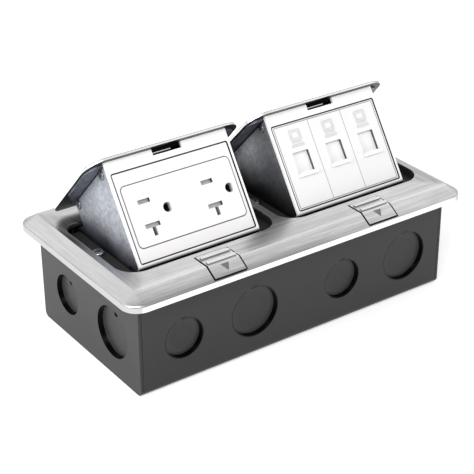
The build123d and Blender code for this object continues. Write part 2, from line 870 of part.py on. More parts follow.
for side_name, x in (("left", -module_x), ("right", module_x)):
    outward = lid_plane(x, lid_under)
    with BuildPart() as lid:
        extrude(
            round_box(
                outward, -lid_half, lid_front, lid_half, lid_back,
                (lid_front_radius, lid_front_radius, lid_back_radius, lid_back_radius),
            ),
            amount=lid_sheet,
        )
        fillet(lid.edges().group_by(Axis(outward.origin, outward.z_dir))[-1], 0.6)
        # The rear edge is bevelled underneath so that it clears the cover as it swings
        extrude(
            polygon(
                side_plane(x - lid_half),
                (
                    (lid_back - 1.8, lid_under),
                    (lid_back - 1.8, lid_under - 1),
                    (lid_back + 1, lid_under - 1),
                    (lid_back + 1, lid_under + 0.9),
                    (lid_back, lid_under + 0.9),
                ),
            ),
            amount=2 * lid_half,
            mode=Mode.SUBTRACT,
        )
    write(lid, f"{side_name}_lid")

    with BuildPart() as backing:
        extrude(
            polygon(
                lid_plane(x, cheek_top),
                (
                    (-backing_half, backing_front),
                    (backing_half, backing_front),
                    (backing_half, backing_taper),
                    (cheek_out, backing_back - 2),
                    (cheek_out, backing_back),
                    (-cheek_out, backing_back),
                    (-cheek_out, backing_back - 2),
                    (-backing_half, backing_taper),
                ),
                (8, 8, 0, 0, 0, 0, 0, 0),
            ),
            amount=backing_sheet,
        )
        for place, reach in zip(upper_screws, (3.2, 1.6)):
            for start in (x - cheek_in, x + tab_inside):
                extrude(
                    polygon(
                        side_plane(start),
                        (
                            (place - 3.2, upper_screw_h - 1.6),
                            (place + reach, upper_screw_h - 1.6),
                            (place + reach, cheek_top),
                            (place - 3.2, cheek_top),
                        ),
                    ),
                    amount=cheek_in - tab_inside,
                )
        for place in upper_screws:
            extrude(
                disc(side_plane(x - cheek_in), place, upper_screw_h,
                     housing_screw_radius + thread_fit),
                amount=2 * cheek_in,
                mode=Mode.SUBTRACT,
            )
    write(backing, f"{side_name}_lid_backing")

    # The keeper behind the latch slot is a pressed pocket welded under the backing plate
    with BuildPart() as keeper:
        extrude(
            polygon(
                side_plane(x - keeper_half),
                (
                    face_point(keeper_floor, face_sheet + 0.05),
                    face_point(keeper_floor + keeper_sheet, face_sheet + 0.05),
                    face_point(keeper_floor + keeper_sheet, keeper_depth),
                    depth_point(cheek_top, keeper_depth),
                    depth_point(cheek_top, keeper_depth - keeper_sheet),
                    face_point(keeper_floor, keeper_depth - keeper_sheet),
                ),
            ),
            amount=2 * keeper_half,
        )
    write(keeper, f"{side_name}_latch_keeper")

    front_top = depth_point(cheek_top, face_sheet)
    front_bottom = face_point(return_down, face_sheet)
    rear_bottom = depth_point(cheek_bottom, cheek_depth)
    arm_low = depth_point(-16.0, cheek_depth)
    arm_high = depth_point(0.4, cheek_depth)
    rear_top = depth_point(cheek_top, cheek_depth)
    with BuildPart() as housing:
        for start in (x - cheek_out, x + cheek_in):
            extrude(
                polygon(
                    side_plane(start),
                    (
                        front_top, front_bottom, face_point(return_down, return_depth),
                        rear_bottom, arm_low, boss_touch(arm_low, 1), (0, 0),
                        boss_touch(arm_high, -1), arm_high, rear_top,
                    ),
                    (0, 1.6, 0, 0, 0, 0, 0, 0, 0, 0),
                ),
                amount=cheek_sheet,
            )
            extrude(disc(side_plane(start), 0, 0, boss_radius), amount=cheek_sheet)
        extrude(
            polygon(
                side_plane(x - cheek_in),
                (
                    depth_point(cheek_top, rear_inward), depth_point(cheek_bottom, rear_inward),
                    rear_bottom, rear_top,
                ),
            ),
            amount=2 * cheek_in,
        )
        extrude(
            disc(side_plane(x - cheek_out), 0, 0, rod_diameter / 2 + running_fit),
            amount=2 * cheek_out,
            mode=Mode.SUBTRACT,
        )
        for across, up in ((upper_screws[0], upper_screw_h), (upper_screws[1], upper_screw_h),
                           lower_screw):
            extrude(
                disc(side_plane(x - cheek_out), across, up,
                     housing_screw_radius + screw_clearance),
                amount=2 * cheek_out,
                mode=Mode.SUBTRACT,
            )
        extrude(
            round_box(
                insert_plane(x, cheek_depth), -cable_width / 2, cable_v - cable_height / 2,
                cable_width / 2, cable_v + cable_height / 2, 3.0,
            ),
            amount=2 * cheek_sheet,
            both=True,
            mode=Mode.SUBTRACT,
        )
    write(housing, f"{side_name}_module_housing")

    with BuildPart() as bushing:
        for depth, grow, thick in ((cheek_depth, 1.6, 1.0), (rear_inward - 1.0, 1.6, 1.0),
                                   (rear_inward, 0, cheek_sheet)):
            extrude(
                round_box(
                    insert_plane(x, depth), -cable_width / 2 - grow,
                    cable_v - cable_height / 2 - grow, cable_width / 2 + grow,
                    cable_v + cable_height / 2 + grow, 3.0 + grow,
                ),
                amount=-thick,
            )
        extrude(
            round_box(
                insert_plane(x, rear_inward - 2), -cable_width / 2 + 1.2,
                cable_v - cable_height / 2 + 1.2, cable_width / 2 - 1.2,
                cable_v + cable_height / 2 - 1.2, 1.8,
            ),
            amount=-6,
            mode=Mode.SUBTRACT,
        )
    write(bushing, f"{side_name}_cable_bushing")

    with BuildPart() as face_frame:
        extrude(
            polygon(
                side_plane(x - cheek_out),
                (
                    face_point(0, 0), face_point(face_height, 0),
                    face_point(face_height, return_depth),
                    face_point(return_down, return_depth),
                    face_point(return_down, face_sheet),
                    depth_point(lid_under, face_sheet),
                ),
                (0, face_nose, 0.4, 0.4, 1.4, 0),
            ),
            amount=2 * cheek_out,
        )
        # Bosses behind the lower edge take the screws through the housing
        for start in (x - cheek_in, x + cheek_in - 5.0):
            extrude(
                polygon(
                    side_plane(start),
                    (
                        face_point(return_down, return_depth - 0.5),
                        face_point(face_height, return_depth - 0.5),
                        face_point(face_height, 12.4),
                        face_point(face_height - 6.6, 12.4),
                        face_point(face_height - 6.6, 7.0),
                        face_point(return_down, 7.0),
                    ),
                ),
                amount=5.0,
            )
        extrude(
            disc(side_plane(x - cheek_in), *lower_screw, housing_screw_radius + thread_fit),
            amount=2 * cheek_in,
            mode=Mode.SUBTRACT,
        )
        extrude(
            round_box(
                insert_plane(x, 0), -window_width / 2, -window_height / 2,
                window_width / 2, window_height / 2, 1.0,
            ),
            amount=-face_sheet,
            mode=Mode.SUBTRACT,
        )
        extrude(
            block(face_plane(x), 0, 2 - slot_height, slot_width, 4),
            amount=-2 * face_sheet,
            mode=Mode.SUBTRACT,
        )
    write(face_frame, f"{side_name}_face_frame")

    with BuildPart() as housing_screws:
        for across in upper_screws:
            y, z = swung(across, upper_screw_h)
            for side in (-1, 1):
                seat = Plane(origin=(x + side * cheek_out, y, z), z_dir=(side, 0, 0))
                add(pan_screw(seat, 3.8, 2.5, 0.8, housing_screw_radius))
        # The lower pair are grub screws, flush with the cheeks
        y, z = swung(*lower_screw)
        for side in (-1, 1):
            seat = Plane(origin=(x + side * cheek_out, y, z), z_dir=(side, 0, 0))
            with BuildPart() as grub_screw:
                extrude(disc(seat, 0, 0, housing_screw_radius), amount=-3.8)
                extrude(disc(seat, 0, 0, 0.6), amount=-1.2, mode=Mode.SUBTRACT)
            add(grub_screw.part)
    write(housing_screws, f"{side_name}_housing_screws")

# Receptacle insert: plate, face, body, contacts and a strap around the back

plate_half_width = window_width / 2 - insert_gap
plate_half_height = window_height / 2 - insert_gap
plate_front = 0.3
plate_back = plate_front + insert_sheet
clip_half = 3.0
clip_places = (-20.0, 20.0)
clip_reach = 1.0
power_x = -module_x
hot_places = (-22.4, 15.7)
blade_v = blade_pitch / 2
ground_places = tuple(place + ground_pitch for place in hot_places)
face_front = plate_front - outlet_proud
face_back = face_front + outlet_sheet
flange_grow = 1.4
body_front = face_back
body_back = body_front + body_depth
strap_u = (hot_places[0] + hot_places[1]) / 2
strap_half = 6.0
strap_sheet = 0.8
strap_screw_v = 19.9
channel_near = 4.35
channel_left = hot_places[0] - 4.8
channel_right = hot_places[1] + 4.8
channel_back = 15.0
bus_out = 13.7
bus_in = 12.9
terminal_inward = 9.0


def insert_block(x, inward_from, inward_to, left, low, right, high):
    """A block behind the face, between two depths, as its sketch and its thickness."""
    return round_box(insert_plane(x, inward_from), left, low, right, high, 0), inward_from - inward_to


with BuildPart() as outlet_plate:
    extrude(
        round_box(
            insert_plane(power_x, plate_front), -plate_half_width, -plate_half_height,
            plate_half_width, plate_half_height, 0.8,
        ),
        amount=plate_front - insert_depth,
    )
    fillet(
        outlet_plate.edges().group_by(
            Axis(insert_plane(power_x, 0).origin, insert_plane(power_x, 0).z_dir)
        )[-1],
        0.3,
    )
    extrude(
        round_box(
            insert_plane(power_x, plate_back), insert_rim - plate_half_width,
            insert_rim - plate_half_height, plate_half_width - insert_rim,
            plate_half_height - insert_rim, 0.5,
        ),
        amount=plate_back - insert_depth,
        mode=Mode.SUBTRACT,
    )
    extrude(
        round_box(
            insert_plane(power_x, plate_front), -outlet_width / 2 - 0.15,
            -outlet_height / 2 - 0.15, outlet_width / 2 + 0.15, outlet_height / 2 + 0.15, 2.65,
        ),
        amount=-insert_sheet,
        mode=Mode.SUBTRACT,
    )
    # Posts that the strap is screwed to, and snaps that hold the plate in the face frame
    for side in (-1, 1):
        extrude(
            disc(insert_plane(power_x, plate_back), strap_u, side * strap_screw_v, 2.0),
            amount=plate_back - body_front - 1.0,
        )
        for place in clip_places:
            snap = round_box(
                insert_plane(power_x, face_sheet + 0.2), place - clip_half,
                min(side * (plate_half_height - 0.5), side * (plate_half_height + clip_reach)),
                place + clip_half,
                max(side * (plate_half_height - 0.5), side * (plate_half_height + clip_reach)), 0,
            )
            extrude(snap, amount=-1.4)
    for side in (-1, 1):
        extrude(
            disc(insert_plane(power_x, body_front + 1.0), strap_u, side * strap_screw_v, 1.05),
            amount=2.4,
            mode=Mode.SUBTRACT,
        )
write(outlet_plate, "outlet_plate")

with BuildPart() as outlet_face:
    extrude(
        round_box(
            insert_plane(power_x, face_front), -outlet_width / 2, -outlet_height / 2,
            outlet_width / 2, outlet_height / 2, 2.5,
        ),
        amount=-outlet_sheet,
    )
    fillet(
        outlet_face.edges().group_by(
            Axis(insert_plane(power_x, 0).origin, insert_plane(power_x, 0).z_dir)
        )[-1],
        0.4,
    )
    # A flange behind the plate keeps the face from coming out forwards
    extrude(
        round_box(
            insert_plane(power_x, plate_back), -outlet_width / 2 - 1.0,
            -outlet_height / 2 - flange_grow, outlet_width / 2 + 1.0,
            outlet_height / 2 + flange_grow, 1.0,
        ),
        amount=plate_back - face_back,
    )
    with BuildSketch(insert_plane(power_x, face_front)) as slots:
        for place in hot_places:
            with Locations((place, blade_v)):
                Rectangle(blade_length, blade_slot + 0.3)
            with Locations((place + 0.6, -blade_v)):
                Rectangle(8.7, blade_slot + 0.3)
            with Locations((place + 0.9, -blade_v - 3.2)):
                Rectangle(2.2, 4.8)
        for place in ground_places:
            with Locations((place, 0)):
                Circle(ground_slot / 2 + 0.1)
            with Locations((place + 2.1 + 1.5, 0)):
                Rectangle(3.0, 2 * ground_slot, mode=Mode.SUBTRACT)
    extrude(slots.sketch, amount=-outlet_sheet, mode=Mode.SUBTRACT)
write(outlet_face, "outlet_face")

with BuildPart() as outlet_body:
    sketch, depth = insert_block(
        power_x, body_front, body_back, -body_length / 2, -body_height / 2,
        body_length / 2, body_height / 2,
    )
    extrude(sketch, amount=depth)
    for side in (-1, 1):
        low = min(side * channel_near, side * (body_height / 2 + 1))
        high = max(side * channel_near, side * (body_height / 2 + 1))
        sketch, depth = insert_block(
            power_x, body_front, channel_back, channel_left, low, channel_right, high
        )
        extrude(sketch, amount=depth, mode=Mode.SUBTRACT)
    for place in ground_places:
        sketch, depth = insert_block(
            power_x, body_front, body_back, place - 3.3, -3.2, place + 3.3, 3.2
        )
        extrude(sketch, amount=depth, mode=Mode.SUBTRACT)
    sketch, depth = insert_block(
        power_x, body_back - 5.0, body_back, ground_places[0] - 3.3, -3.2,
        ground_places[1] + 3.3, 3.2,
    )
    extrude(sketch, amount=depth, mode=Mode.SUBTRACT)
write(outlet_body, "outlet_body")

for bus_name, side in (("hot", 1), ("neutral", -1)):
    with BuildPart() as bus:
        pieces = [(terminal_inward - 4.0, channel_back - 1.0, hot_places[0] - 4.0,
                   hot_places[1] + 4.0, bus_in, bus_out)]
        for place in hot_places:
            pieces.append((channel_back - 1.8, channel_back - 1.0, place - 3.2, place + 3.2,
                           blade_v - 1.9, bus_out))
            pieces.append((body_front + 0.8, channel_back - 1.0, place - 3.2, place + 3.2,
                           blade_v + 1.2, blade_v + 1.9))
            pieces.append((body_front + 0.8, channel_back - 1.0, place - 3.2, place + 3.2,
                           blade_v - 1.9, blade_v - 1.2))
        for near, far, left, right, low, high in pieces:
            sketch, depth = insert_block(
                power_x, near, far, left, min(side * low, side * high), right,
                max(side * low, side * high),
            )
            extrude(sketch, amount=depth)
        for place in hot_places:
            y, z = swung(*face_point(
                window_top + window_height / 2 - side * bus_out, terminal_inward
            ))
            tilt = turn + lean
            side_seat = Plane(
                origin=(power_x + place, y, z),
                x_dir=(1, 0, 0),
                z_dir=(0, -side * cos(tilt), side * sin(tilt)),
            )
            extrude(disc(side_seat, 0, 0, 1.75 + thread_fit), amount=-1.0, mode=Mode.SUBTRACT)
    write(bus, f"outlet_{bus_name}_bus")

    with BuildPart() as terminal_screws:
        for place in hot_places:
            y, z = swung(*face_point(
                window_top + window_height / 2 - side * bus_out, terminal_inward
            ))
            side_seat = Plane(
                origin=(power_x + place, y, z),
                x_dir=(1, 0, 0),
                z_dir=(0, -side * cos(tilt), side * sin(tilt)),
            )
            add(pan_screw(side_seat, 3.6, 3.4, 2.0, 1.75))
    write(terminal_screws, f"outlet_{bus_name}_screws")

with BuildPart() as outlet_strap:
    strap_top = body_height / 2
    sketch, depth = insert_block(
        power_x, body_front + 1.0, body_back + strap_sheet, strap_u - strap_half,
        -strap_top - strap_sheet, strap_u + strap_half, strap_top + strap_sheet,
    )
    extrude(sketch, amount=depth)
    sketch, depth = insert_block(
        power_x, body_front - 1.0, body_back, strap_u - strap_half, -strap_top,
        strap_u + strap_half, strap_top,
    )
    extrude(sketch, amount=depth, mode=Mode.SUBTRACT)
    for side in (-1, 1):
        sketch, depth = insert_block(
            power_x, body_front + 1.0, body_front + 1.0 + strap_sheet, strap_u - strap_half,
            min(side * strap_top, side * 22.1), strap_u + strap_half,
            max(side * strap_top, side * 22.1),
        )
        extrude(sketch, amount=depth)
        extrude(
            disc(insert_plane(power_x, body_front), strap_u, side * strap_screw_v, 1.25),
            amount=-3,
            mode=Mode.SUBTRACT,
        )
    extrude(
        disc(insert_plane(power_x, body_back - 1), strap_u, 0, 1.75 + screw_clearance),
        amount=-3,
        mode=Mode.SUBTRACT,
    )
write(outlet_strap, "outlet_strap")

with BuildPart() as outlet_ground_bus:
    ground_bar = body_back - 3.0
    sketch, depth = insert_block(
        power_x, ground_bar, ground_bar + 1.0, ground_places[0] - 2.9, -2.6,
        ground_places[1] + 2.9, 2.6,
    )
    extrude(sketch, amount=depth)
    for place in ground_places:
        for side in (-1, 1):
            sketch, depth = insert_block(
                power_x, body_front + 1.2, ground_bar, place - 2.2,
                min(side * 2.0, side * 2.6), place + 2.2, max(side * 2.0, side * 2.6),
            )
            extrude(sketch, amount=depth)
    extrude(
        disc(insert_plane(power_x, ground_bar - 1), strap_u, 0, 1.75 + thread_fit),
        amount=-3,
        mode=Mode.SUBTRACT,
    )
write(outlet_ground_bus, "outlet_ground_bus")

with BuildPart() as outlet_ground_screw:
    back_seat = insert_plane(power_x, body_back + strap_sheet)
    rear_seat = Plane(
        origin=back_seat.from_local_coords((strap_u, 0, 0)),
        x_dir=(1, 0, 0),
        z_dir=(-back_seat.z_dir.X, -back_seat.z_dir.Y, -back_seat.z_dir.Z),
    )
    add(pan_screw(rear_seat, 5.4, 3.4, 2.0, 1.75))
write(outlet_ground_screw, "outlet_ground_screw")

with BuildPart() as outlet_strap_screws:
    for side in (-1, 1):
        ear_seat = insert_plane(power_x, body_front + 1.0 + strap_sheet)
        rear_seat = Plane(
            origin=ear_seat.from_local_coords((strap_u, side * strap_screw_v, 0)),
            x_dir=(1, 0, 0),
            z_dir=(-ear_seat.z_dir.X, -ear_seat.z_dir.Y, -ear_seat.z_dir.Z),
        )
        add(pan_screw(rear_seat, 2.9, 2.2, 1.2, 1.0))
write(outlet_strap_screws, "outlet_strap_screws")

# Data insert: a carrier with three socket covers, their shutters, springs and jacks

data_x = module_x
data_places = (-data_pitch, 0.0, data_pitch)
cover_half = data_pitch / 2 - 0.05
cover_back = plate_front + data_sheet
shut_low = -5.6
shut_high = shut_low + shutter_height + 0.5
door_front = cover_back + 0.1
door_back = door_front + 1.0
jack_front = door_back + 0.2
jack_v = 0.75
rib_end = 19.3
hook_u = 9.4
hook_v = -18.0
icon_u = 0.4
icon_relief = 0.3

with BuildPart() as data_carrier:
    extrude(
        round_box(
            insert_plane(data_x, plate_front), -plate_half_width, -plate_half_height,
            plate_half_width, plate_half_height, 0.8,
        ),
        amount=plate_front - insert_depth,
    )
    fillet(
        data_carrier.edges().group_by(
            Axis(insert_plane(data_x, 0).origin, insert_plane(data_x, 0).z_dir)
        )[-1],
        0.3,
    )
    extrude(
        round_box(
            insert_plane(data_x, plate_front), -1.5 * data_pitch - 0.1, -data_height / 2 - 0.1,
            1.5 * data_pitch + 0.1, data_height / 2 + 0.1, 0.3,
        ),
        amount=plate_front - insert_depth,
        mode=Mode.SUBTRACT,
    )
    for side in (-1, 1):
        low = min(side * 19.6, side * (data_height / 2 + 0.3))
        high = max(side * 19.6, side * (data_height / 2 + 0.3))
        sketch, depth = insert_block(
            data_x, cover_back, cover_back + 2.0, -1.5 * data_pitch - 0.3, low,
            1.5 * data_pitch + 0.3, high,
        )
        extrude(sketch, amount=depth)
        for place in clip_places:
            snap = round_box(
                insert_plane(data_x, face_sheet + 0.2), place - clip_half,
                min(side * (plate_half_height - 0.5), side * (plate_half_height + clip_reach)),
                place + clip_half,
                max(side * (plate_half_height - 0.5), side * (plate_half_height + clip_reach)), 0,
            )
            extrude(snap, amount=-1.4)
write(data_carrier, "data_carrier")

jack_low = jack_v - jack_height / 2
jack_high = jack_v + jack_height / 2

with BuildPart() as data_covers:
    for place in data_places:
        x = data_x + place
        extrude(
            round_box(
                insert_plane(x, plate_front), -cover_half, -data_height / 2, cover_half,
                data_height / 2, 0.2,
            ),
            amount=-data_sheet,
        )
        walls = (
            (cover_back, 14.0, -10.2, jack_low - 2.3, -jack_width / 2, jack_high + 2.3),
            (cover_back, 14.0, -10.2, jack_low - 2.3, jack_width / 2, jack_low),
            (jack_front, 14.0, -10.2, jack_high, jack_width / 2, jack_high + 2.3),
            (cover_back, door_back + 0.1, -7.4, jack_low - 0.5, -6.35, rib_end),
            (cover_back, door_back + 0.1, 6.35, 7.7, 7.4, rib_end),
        )
        for near, far, left, low, right, high in walls:
            sketch, depth = insert_block(x, near, far, left, low, right, high)
            extrude(sketch, amount=depth)
        extrude(disc(insert_plane(x, cover_back), hook_u, hook_v, 0.9), amount=-3.0)
        with BuildSketch(insert_plane(x, plate_front)) as opening:
            with Locations((icon_u, (shut_low + shut_high) / 2)):
                RectangleRounded(shutter_width, shut_high - shut_low, 0.4)
        extrude(opening.sketch, amount=-data_sheet, mode=Mode.SUBTRACT)
        # A small computer in relief marks each socket
        with BuildSketch(insert_plane(x, plate_front)) as icon:
            with Locations((icon_u, 16.2)):
                RectangleRounded(7.4, 6.2, 0.6)
                RectangleRounded(6.4, 5.2, 0.4, mode=Mode.SUBTRACT)
                RectangleRounded(5.0, 4.0, 0.4)
                RectangleRounded(4.2, 3.2, 0.3, mode=Mode.SUBTRACT)
            with Locations((icon_u, 12.4)):
                Rectangle(6.6, 0.5)
            with Locations((icon_u, 10.6)):
                RectangleRounded(8.2, 1.5, 0.3)
                RectangleRounded(7.2, 0.6, 0.2, mode=Mode.SUBTRACT)
        extrude(icon.sketch, amount=icon_relief)
write(data_covers, "data_covers")

for number, place in enumerate(data_places, start=1):
    x = data_x + place
    with BuildPart() as shutter:
        sketch, depth = insert_block(
            x, door_front, door_back, -6.3, shut_low - 1.0, 6.3, shut_high + 1.0
        )
        extrude(sketch, amount=depth)
        # The arm that the spring pulls on, and the grip that stands in front of the cover
        sketch, depth = insert_block(
            x, door_front, door_back, 6.0, shut_low - 1.0, 10.6, shut_low + 1.0
        )
        extrude(sketch, amount=depth)
        sketch, depth = insert_block(
            x, -0.4, door_front, icon_u - 5.0, shut_low + 0.1, icon_u + 5.0, shut_low + 1.2
        )
        extrude(sketch, amount=depth)
        grip = round_box(
            insert_plane(x, plate_front - 0.1), icon_u - 6.5, shut_low - 1.0, icon_u + 6.5,
            shut_low + 0.8, 0.3,
        )
        extrude(grip, amount=1.1)
    write(shutter, f"data_shutter_{number}")

    hook_plane = insert_plane(x, jack_front)
    spring_base = Plane(
        origin=hook_plane.from_local_coords((hook_u, hook_v + 1.2, 0)),
        x_dir=(1, 0, 0),
        z_dir=(hook_plane.y_dir.X, hook_plane.y_dir.Y, hook_plane.y_dir.Z),
    )
    with BuildPart() as shutter_spring:
        add(spring_coil(spring_base, shut_low - 1.1 - hook_v - 1.2, 0.9, 0.35, 9))
    write(shutter_spring, f"data_shutter_spring_{number}")

port_back = jack_front + port_depth

with BuildPart() as data_jacks:
    for place in data_places:
        x = data_x + place
        sketch, depth = insert_block(
            x, jack_front, jack_front + jack_depth, -jack_width / 2, jack_low,
            jack_width / 2, jack_high,
        )
        extrude(sketch, amount=depth)
        sketch, depth = insert_block(
            x, jack_front, port_back, icon_u - port_width / 2, jack_v - port_height / 2,
            icon_u + port_width / 2, jack_v + port_height / 2,
        )
        extrude(sketch, amount=depth, mode=Mode.SUBTRACT)
        sketch, depth = insert_block(
            x, jack_front, port_back, icon_u - 3.1, jack_v - port_height / 2 - 2.2,
            icon_u + 3.1, jack_v,
        )
        extrude(sketch, amount=depth, mode=Mode.SUBTRACT)
        for row in (-1, 1):
            for column in (-1.5, -0.5, 0.5, 1.5):
                sketch, depth = insert_block(
                    x, jack_front + jack_depth - 5.0, jack_front + jack_depth,
                    3.6 * column - 0.35, jack_v + row * 4.6 - 3.2,
                    3.6 * column + 0.35, jack_v + row * 4.6 + 3.2,
                )
                extrude(sketch, amount=depth, mode=Mode.SUBTRACT)
write(data_jacks, "data_jacks")

with BuildPart() as data_contacts:
    for place in data_places:
        x = data_x + place + icon_u
        contact_high = jack_v + port_height / 2
        sketch, depth = insert_block(
            x, port_back - 1.4, port_back, -4.6, contact_high - 2.6, 4.6, contact_high
        )
        extrude(sketch, amount=depth)
        for wire in range(8):
            middle = 1.02 * (wire - 3.5)
            sketch, depth = insert_block(
                x, jack_front + 1.6, port_back - 1.4, middle - 0.25, contact_high - 2.2,
                middle + 0.25, contact_high - 1.8,
            )
            extrude(sketch, amount=depth)
write(data_contacts, "data_contacts")
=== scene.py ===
"""The looks of a two-gang pop-up floor box: charcoal steel box, brushed stainless cover and lids.

Metres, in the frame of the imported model: X along the box, -Y the side that the raised sockets
face, +Z up. The left module carries a duplex receptacle and the right one three data sockets.
"""
import math

import bmesh
import bpy
from mathutils import Euler, Matrix, Vector


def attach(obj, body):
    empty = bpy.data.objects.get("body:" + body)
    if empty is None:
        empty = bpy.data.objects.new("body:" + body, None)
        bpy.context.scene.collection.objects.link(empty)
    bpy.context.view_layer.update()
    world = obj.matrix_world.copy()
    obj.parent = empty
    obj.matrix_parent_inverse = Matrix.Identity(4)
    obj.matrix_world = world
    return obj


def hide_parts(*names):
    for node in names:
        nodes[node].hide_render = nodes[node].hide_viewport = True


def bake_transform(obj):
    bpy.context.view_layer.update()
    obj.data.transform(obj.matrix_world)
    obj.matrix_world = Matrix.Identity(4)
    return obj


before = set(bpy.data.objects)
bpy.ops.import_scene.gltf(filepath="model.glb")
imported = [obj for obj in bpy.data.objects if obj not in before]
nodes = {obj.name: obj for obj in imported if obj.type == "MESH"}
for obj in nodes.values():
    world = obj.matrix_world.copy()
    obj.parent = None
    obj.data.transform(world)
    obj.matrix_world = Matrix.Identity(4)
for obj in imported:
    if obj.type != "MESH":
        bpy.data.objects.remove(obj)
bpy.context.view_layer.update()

# Camera: where the photograph was taken from, 0.79 m away and 28 degrees above the horizon,
# with a lens of 106 mm.

scene = bpy.context.scene
scene.view_settings.view_transform = "Standard"
scene.view_settings.look = "None"

camera_data = bpy.data.cameras.new("camera")
camera_data.lens = 106.26
camera_data.sensor_width = 36.0
camera = bpy.data.objects.new("camera", camera_data)
camera.location = (-0.395608, -0.552398, 0.401833)
camera.rotation_euler = Euler(
    (math.radians(61.8873), math.radians(0.279), math.radians(-35.3951)), "XYZ"
)
scene.collection.objects.link(camera)
scene.camera = camera

# Light: a white tent that is brighter overhead than at the horizon, a key light high on the
# left in front, and a low one on the left that falls on the end of the box.


def tent(*stops):
    """A white surround whose strength follows the height of the direction."""
    world = bpy.data.worlds.new("tent")
    world.use_nodes = True
    tree = world.node_tree
    back = tree.nodes["Background"]
    where = tree.nodes.new("ShaderNodeTexCoord")
    height = tree.nodes.new("ShaderNodeSeparateXYZ")
    ramp = tree.nodes.new("ShaderNodeValToRGB")
    tree.links.new(where.outputs["Generated"], height.inputs[0])
    tree.links.new(height.outputs["Z"], ramp.inputs["Fac"])
    tree.links.new(ramp.outputs["Color"], back.inputs["Color"])
    for spot, shade in stops[2:]:
        ramp.color_ramp.elements.new(spot)
    for element, (spot, shade) in zip(ramp.color_ramp.elements, stops):
        element.position = spot
        element.color = (shade, shade, shade, 1.0)
    scene.world = world


tent((0.0, 0.26), (0.22, 0.50), (0.47, 0.82), (0.66, 1.05), (0.86, 0.60))


def area_light(name, place, target, size, watts):
    """A square soft light that looks at a point."""
    data = bpy.data.lights.new(name, "AREA")
    data.size = size
    data.energy = watts
    lamp = bpy.data.objects.new(name, data)
    lamp.location = place
    lamp.rotation_euler = (Vector(target) - Vector(place)).to_track_quat("-Z", "Y").to_euler()
    scene.collection.objects.link(lamp)


area_light("key_light", (-0.7, -0.8, 1.1), (0.0, 0.0, 0.05), 0.5, 7.0)
area_light("side_light", (-1.3, -0.2, 0.6), (0.0, 0.0, 0.03), 0.5, 7.0)

# Studio floor: a wide sheet of white paper. Tone and Finish, the two classes that every
# finish below is written with, start here.

# The middle of each module is this far along X from the middle of the box
module_x = 0.0496


class Tone:
    """A shader socket that can be used in sums: each operator adds a Math node."""

    def __init__(self, finish, socket):
        self.finish = finish
        self.socket = socket

    def _sum(self, operation, first, second):
        return self.finish.node("ShaderNodeMath", {"operation": operation}, (first, second))

    def __add__(self, other):
        return self._sum("ADD", self, other)

    def __radd__(self, other):
        return self._sum("ADD", other, self)

    def __sub__(self, other):
        return self._sum("SUBTRACT", self, other)

    def __rsub__(self, other):
        return self._sum("SUBTRACT", other, self)

    def __mul__(self, other):
        return self._sum("MULTIPLY", self, other)

    def __rmul__(self, other):
        return self._sum("MULTIPLY", other, self)

    def __lt__(self, other):
        return self._sum("LESS_THAN", self, other)

    def __gt__(self, other):
        return self._sum("GREATER_THAN", self, other)

    def __abs__(self):
        return self._sum("ABSOLUTE", self, 0.0)


class Finish:
    """A material around one Principled shader, built a node at a time."""

    def __init__(self, name, **sockets):
        self.material = bpy.data.materials.new(name)
        self.material.use_nodes = True
        self.tree = self.material.node_tree
        self.shader = self.tree.nodes["Principled BSDF"]
        for socket, value in sockets.items():
            self.set(socket.replace("_", " "), value)
        self.place = self.node("ShaderNodeTexCoord", output="Object")
        self.facing = self.node("ShaderNodeTexCoord", output="Normal")

    def node(self, kind, settings=None, values=(), output=0):
        """A shader node with its settings and inputs; it gives one of its outputs."""
        made = self.tree.nodes.new(kind)
        for key, value in (settings or {}).items():
            setattr(made, key, value)
        pairs = values.items() if isinstance(values, dict) else enumerate(values)
        for socket, value in pairs:
            self._feed(made.inputs[socket], value)
        return Tone(self, made.outputs[output])

    def _feed(self, socket, value):
        if isinstance(value, Tone):
            self.tree.links.new(value.socket, socket)
        elif isinstance(value, tuple) and len(value) == 3 and socket.type == "RGBA":
            socket.default_value = (*value, 1.0)
        else:
            socket.default_value = value

    def set(self, name, value):
        """Give a Principled socket a plain value or a link."""
        for socket in self.shader.inputs:
            if socket.name.lower() == name.lower():
                self._feed(socket, value)
                return
        raise KeyError(name)

    def along(self, direction, vector=None):
        """How far a point, or a normal, goes along a direction."""
        return self.node(
            "ShaderNodeVectorMath", {"operation": "DOT_PRODUCT"},
            {0: vector or self.place, 1: tuple(direction)}, output="Value",
        )

    def from_middle(self):
        """How far a point is along X from the middle of its module."""
        x = self.along((1.0, 0.0, 0.0))
        return x - module_x * (2.0 * (x > 0.0) - 1.0)

    def ease(self, value, low, high, start=0.0, end=1.0):
        """A soft step from start to end as a value goes from low to high."""
        return self.node(
            "ShaderNodeMapRange", {"interpolation_type": "SMOOTHSTEP"},
            {"Value": value, "From Min": low, "From Max": high, "To Min": start, "To Max": end},
        )

    def stretched(self, x, y, z):
        """Object coordinates with each axis scaled."""
        return self.node(
            "ShaderNodeMapping", {}, {"Vector": self.place, "Scale": (x, y, z)}
        )

    def noise(self, where, scale, detail=2.0, roughness=0.5):
        """Soft random spots, from 0 to 1."""
        return self.node(
            "ShaderNodeTexNoise", {},
            {"Vector": where, "Scale": scale, "Detail": detail, "Roughness": roughness},
        )

    def blend(self, factor, first, second):
        """A colour between two colours."""
        return self.node(
            "ShaderNodeMix", {"data_type": "RGBA"},
            {0: factor, 6: first, 7: second}, output=2,
        )

    def bump(self, height, distance, strength=1.0):
        """Fine relief."""
        self.set("normal", self.node(
            "ShaderNodeBump", {}, {"Height": height, "Distance": distance, "Strength": strength}
        ))

    def give(self, *names):
        """Put this finish on CAD nodes."""
        for name in names:
            for slot in nodes[name].material_slots:
                slot.material = self.material
            if not nodes[name].material_slots:
                nodes[name].data.materials.append(self.material)


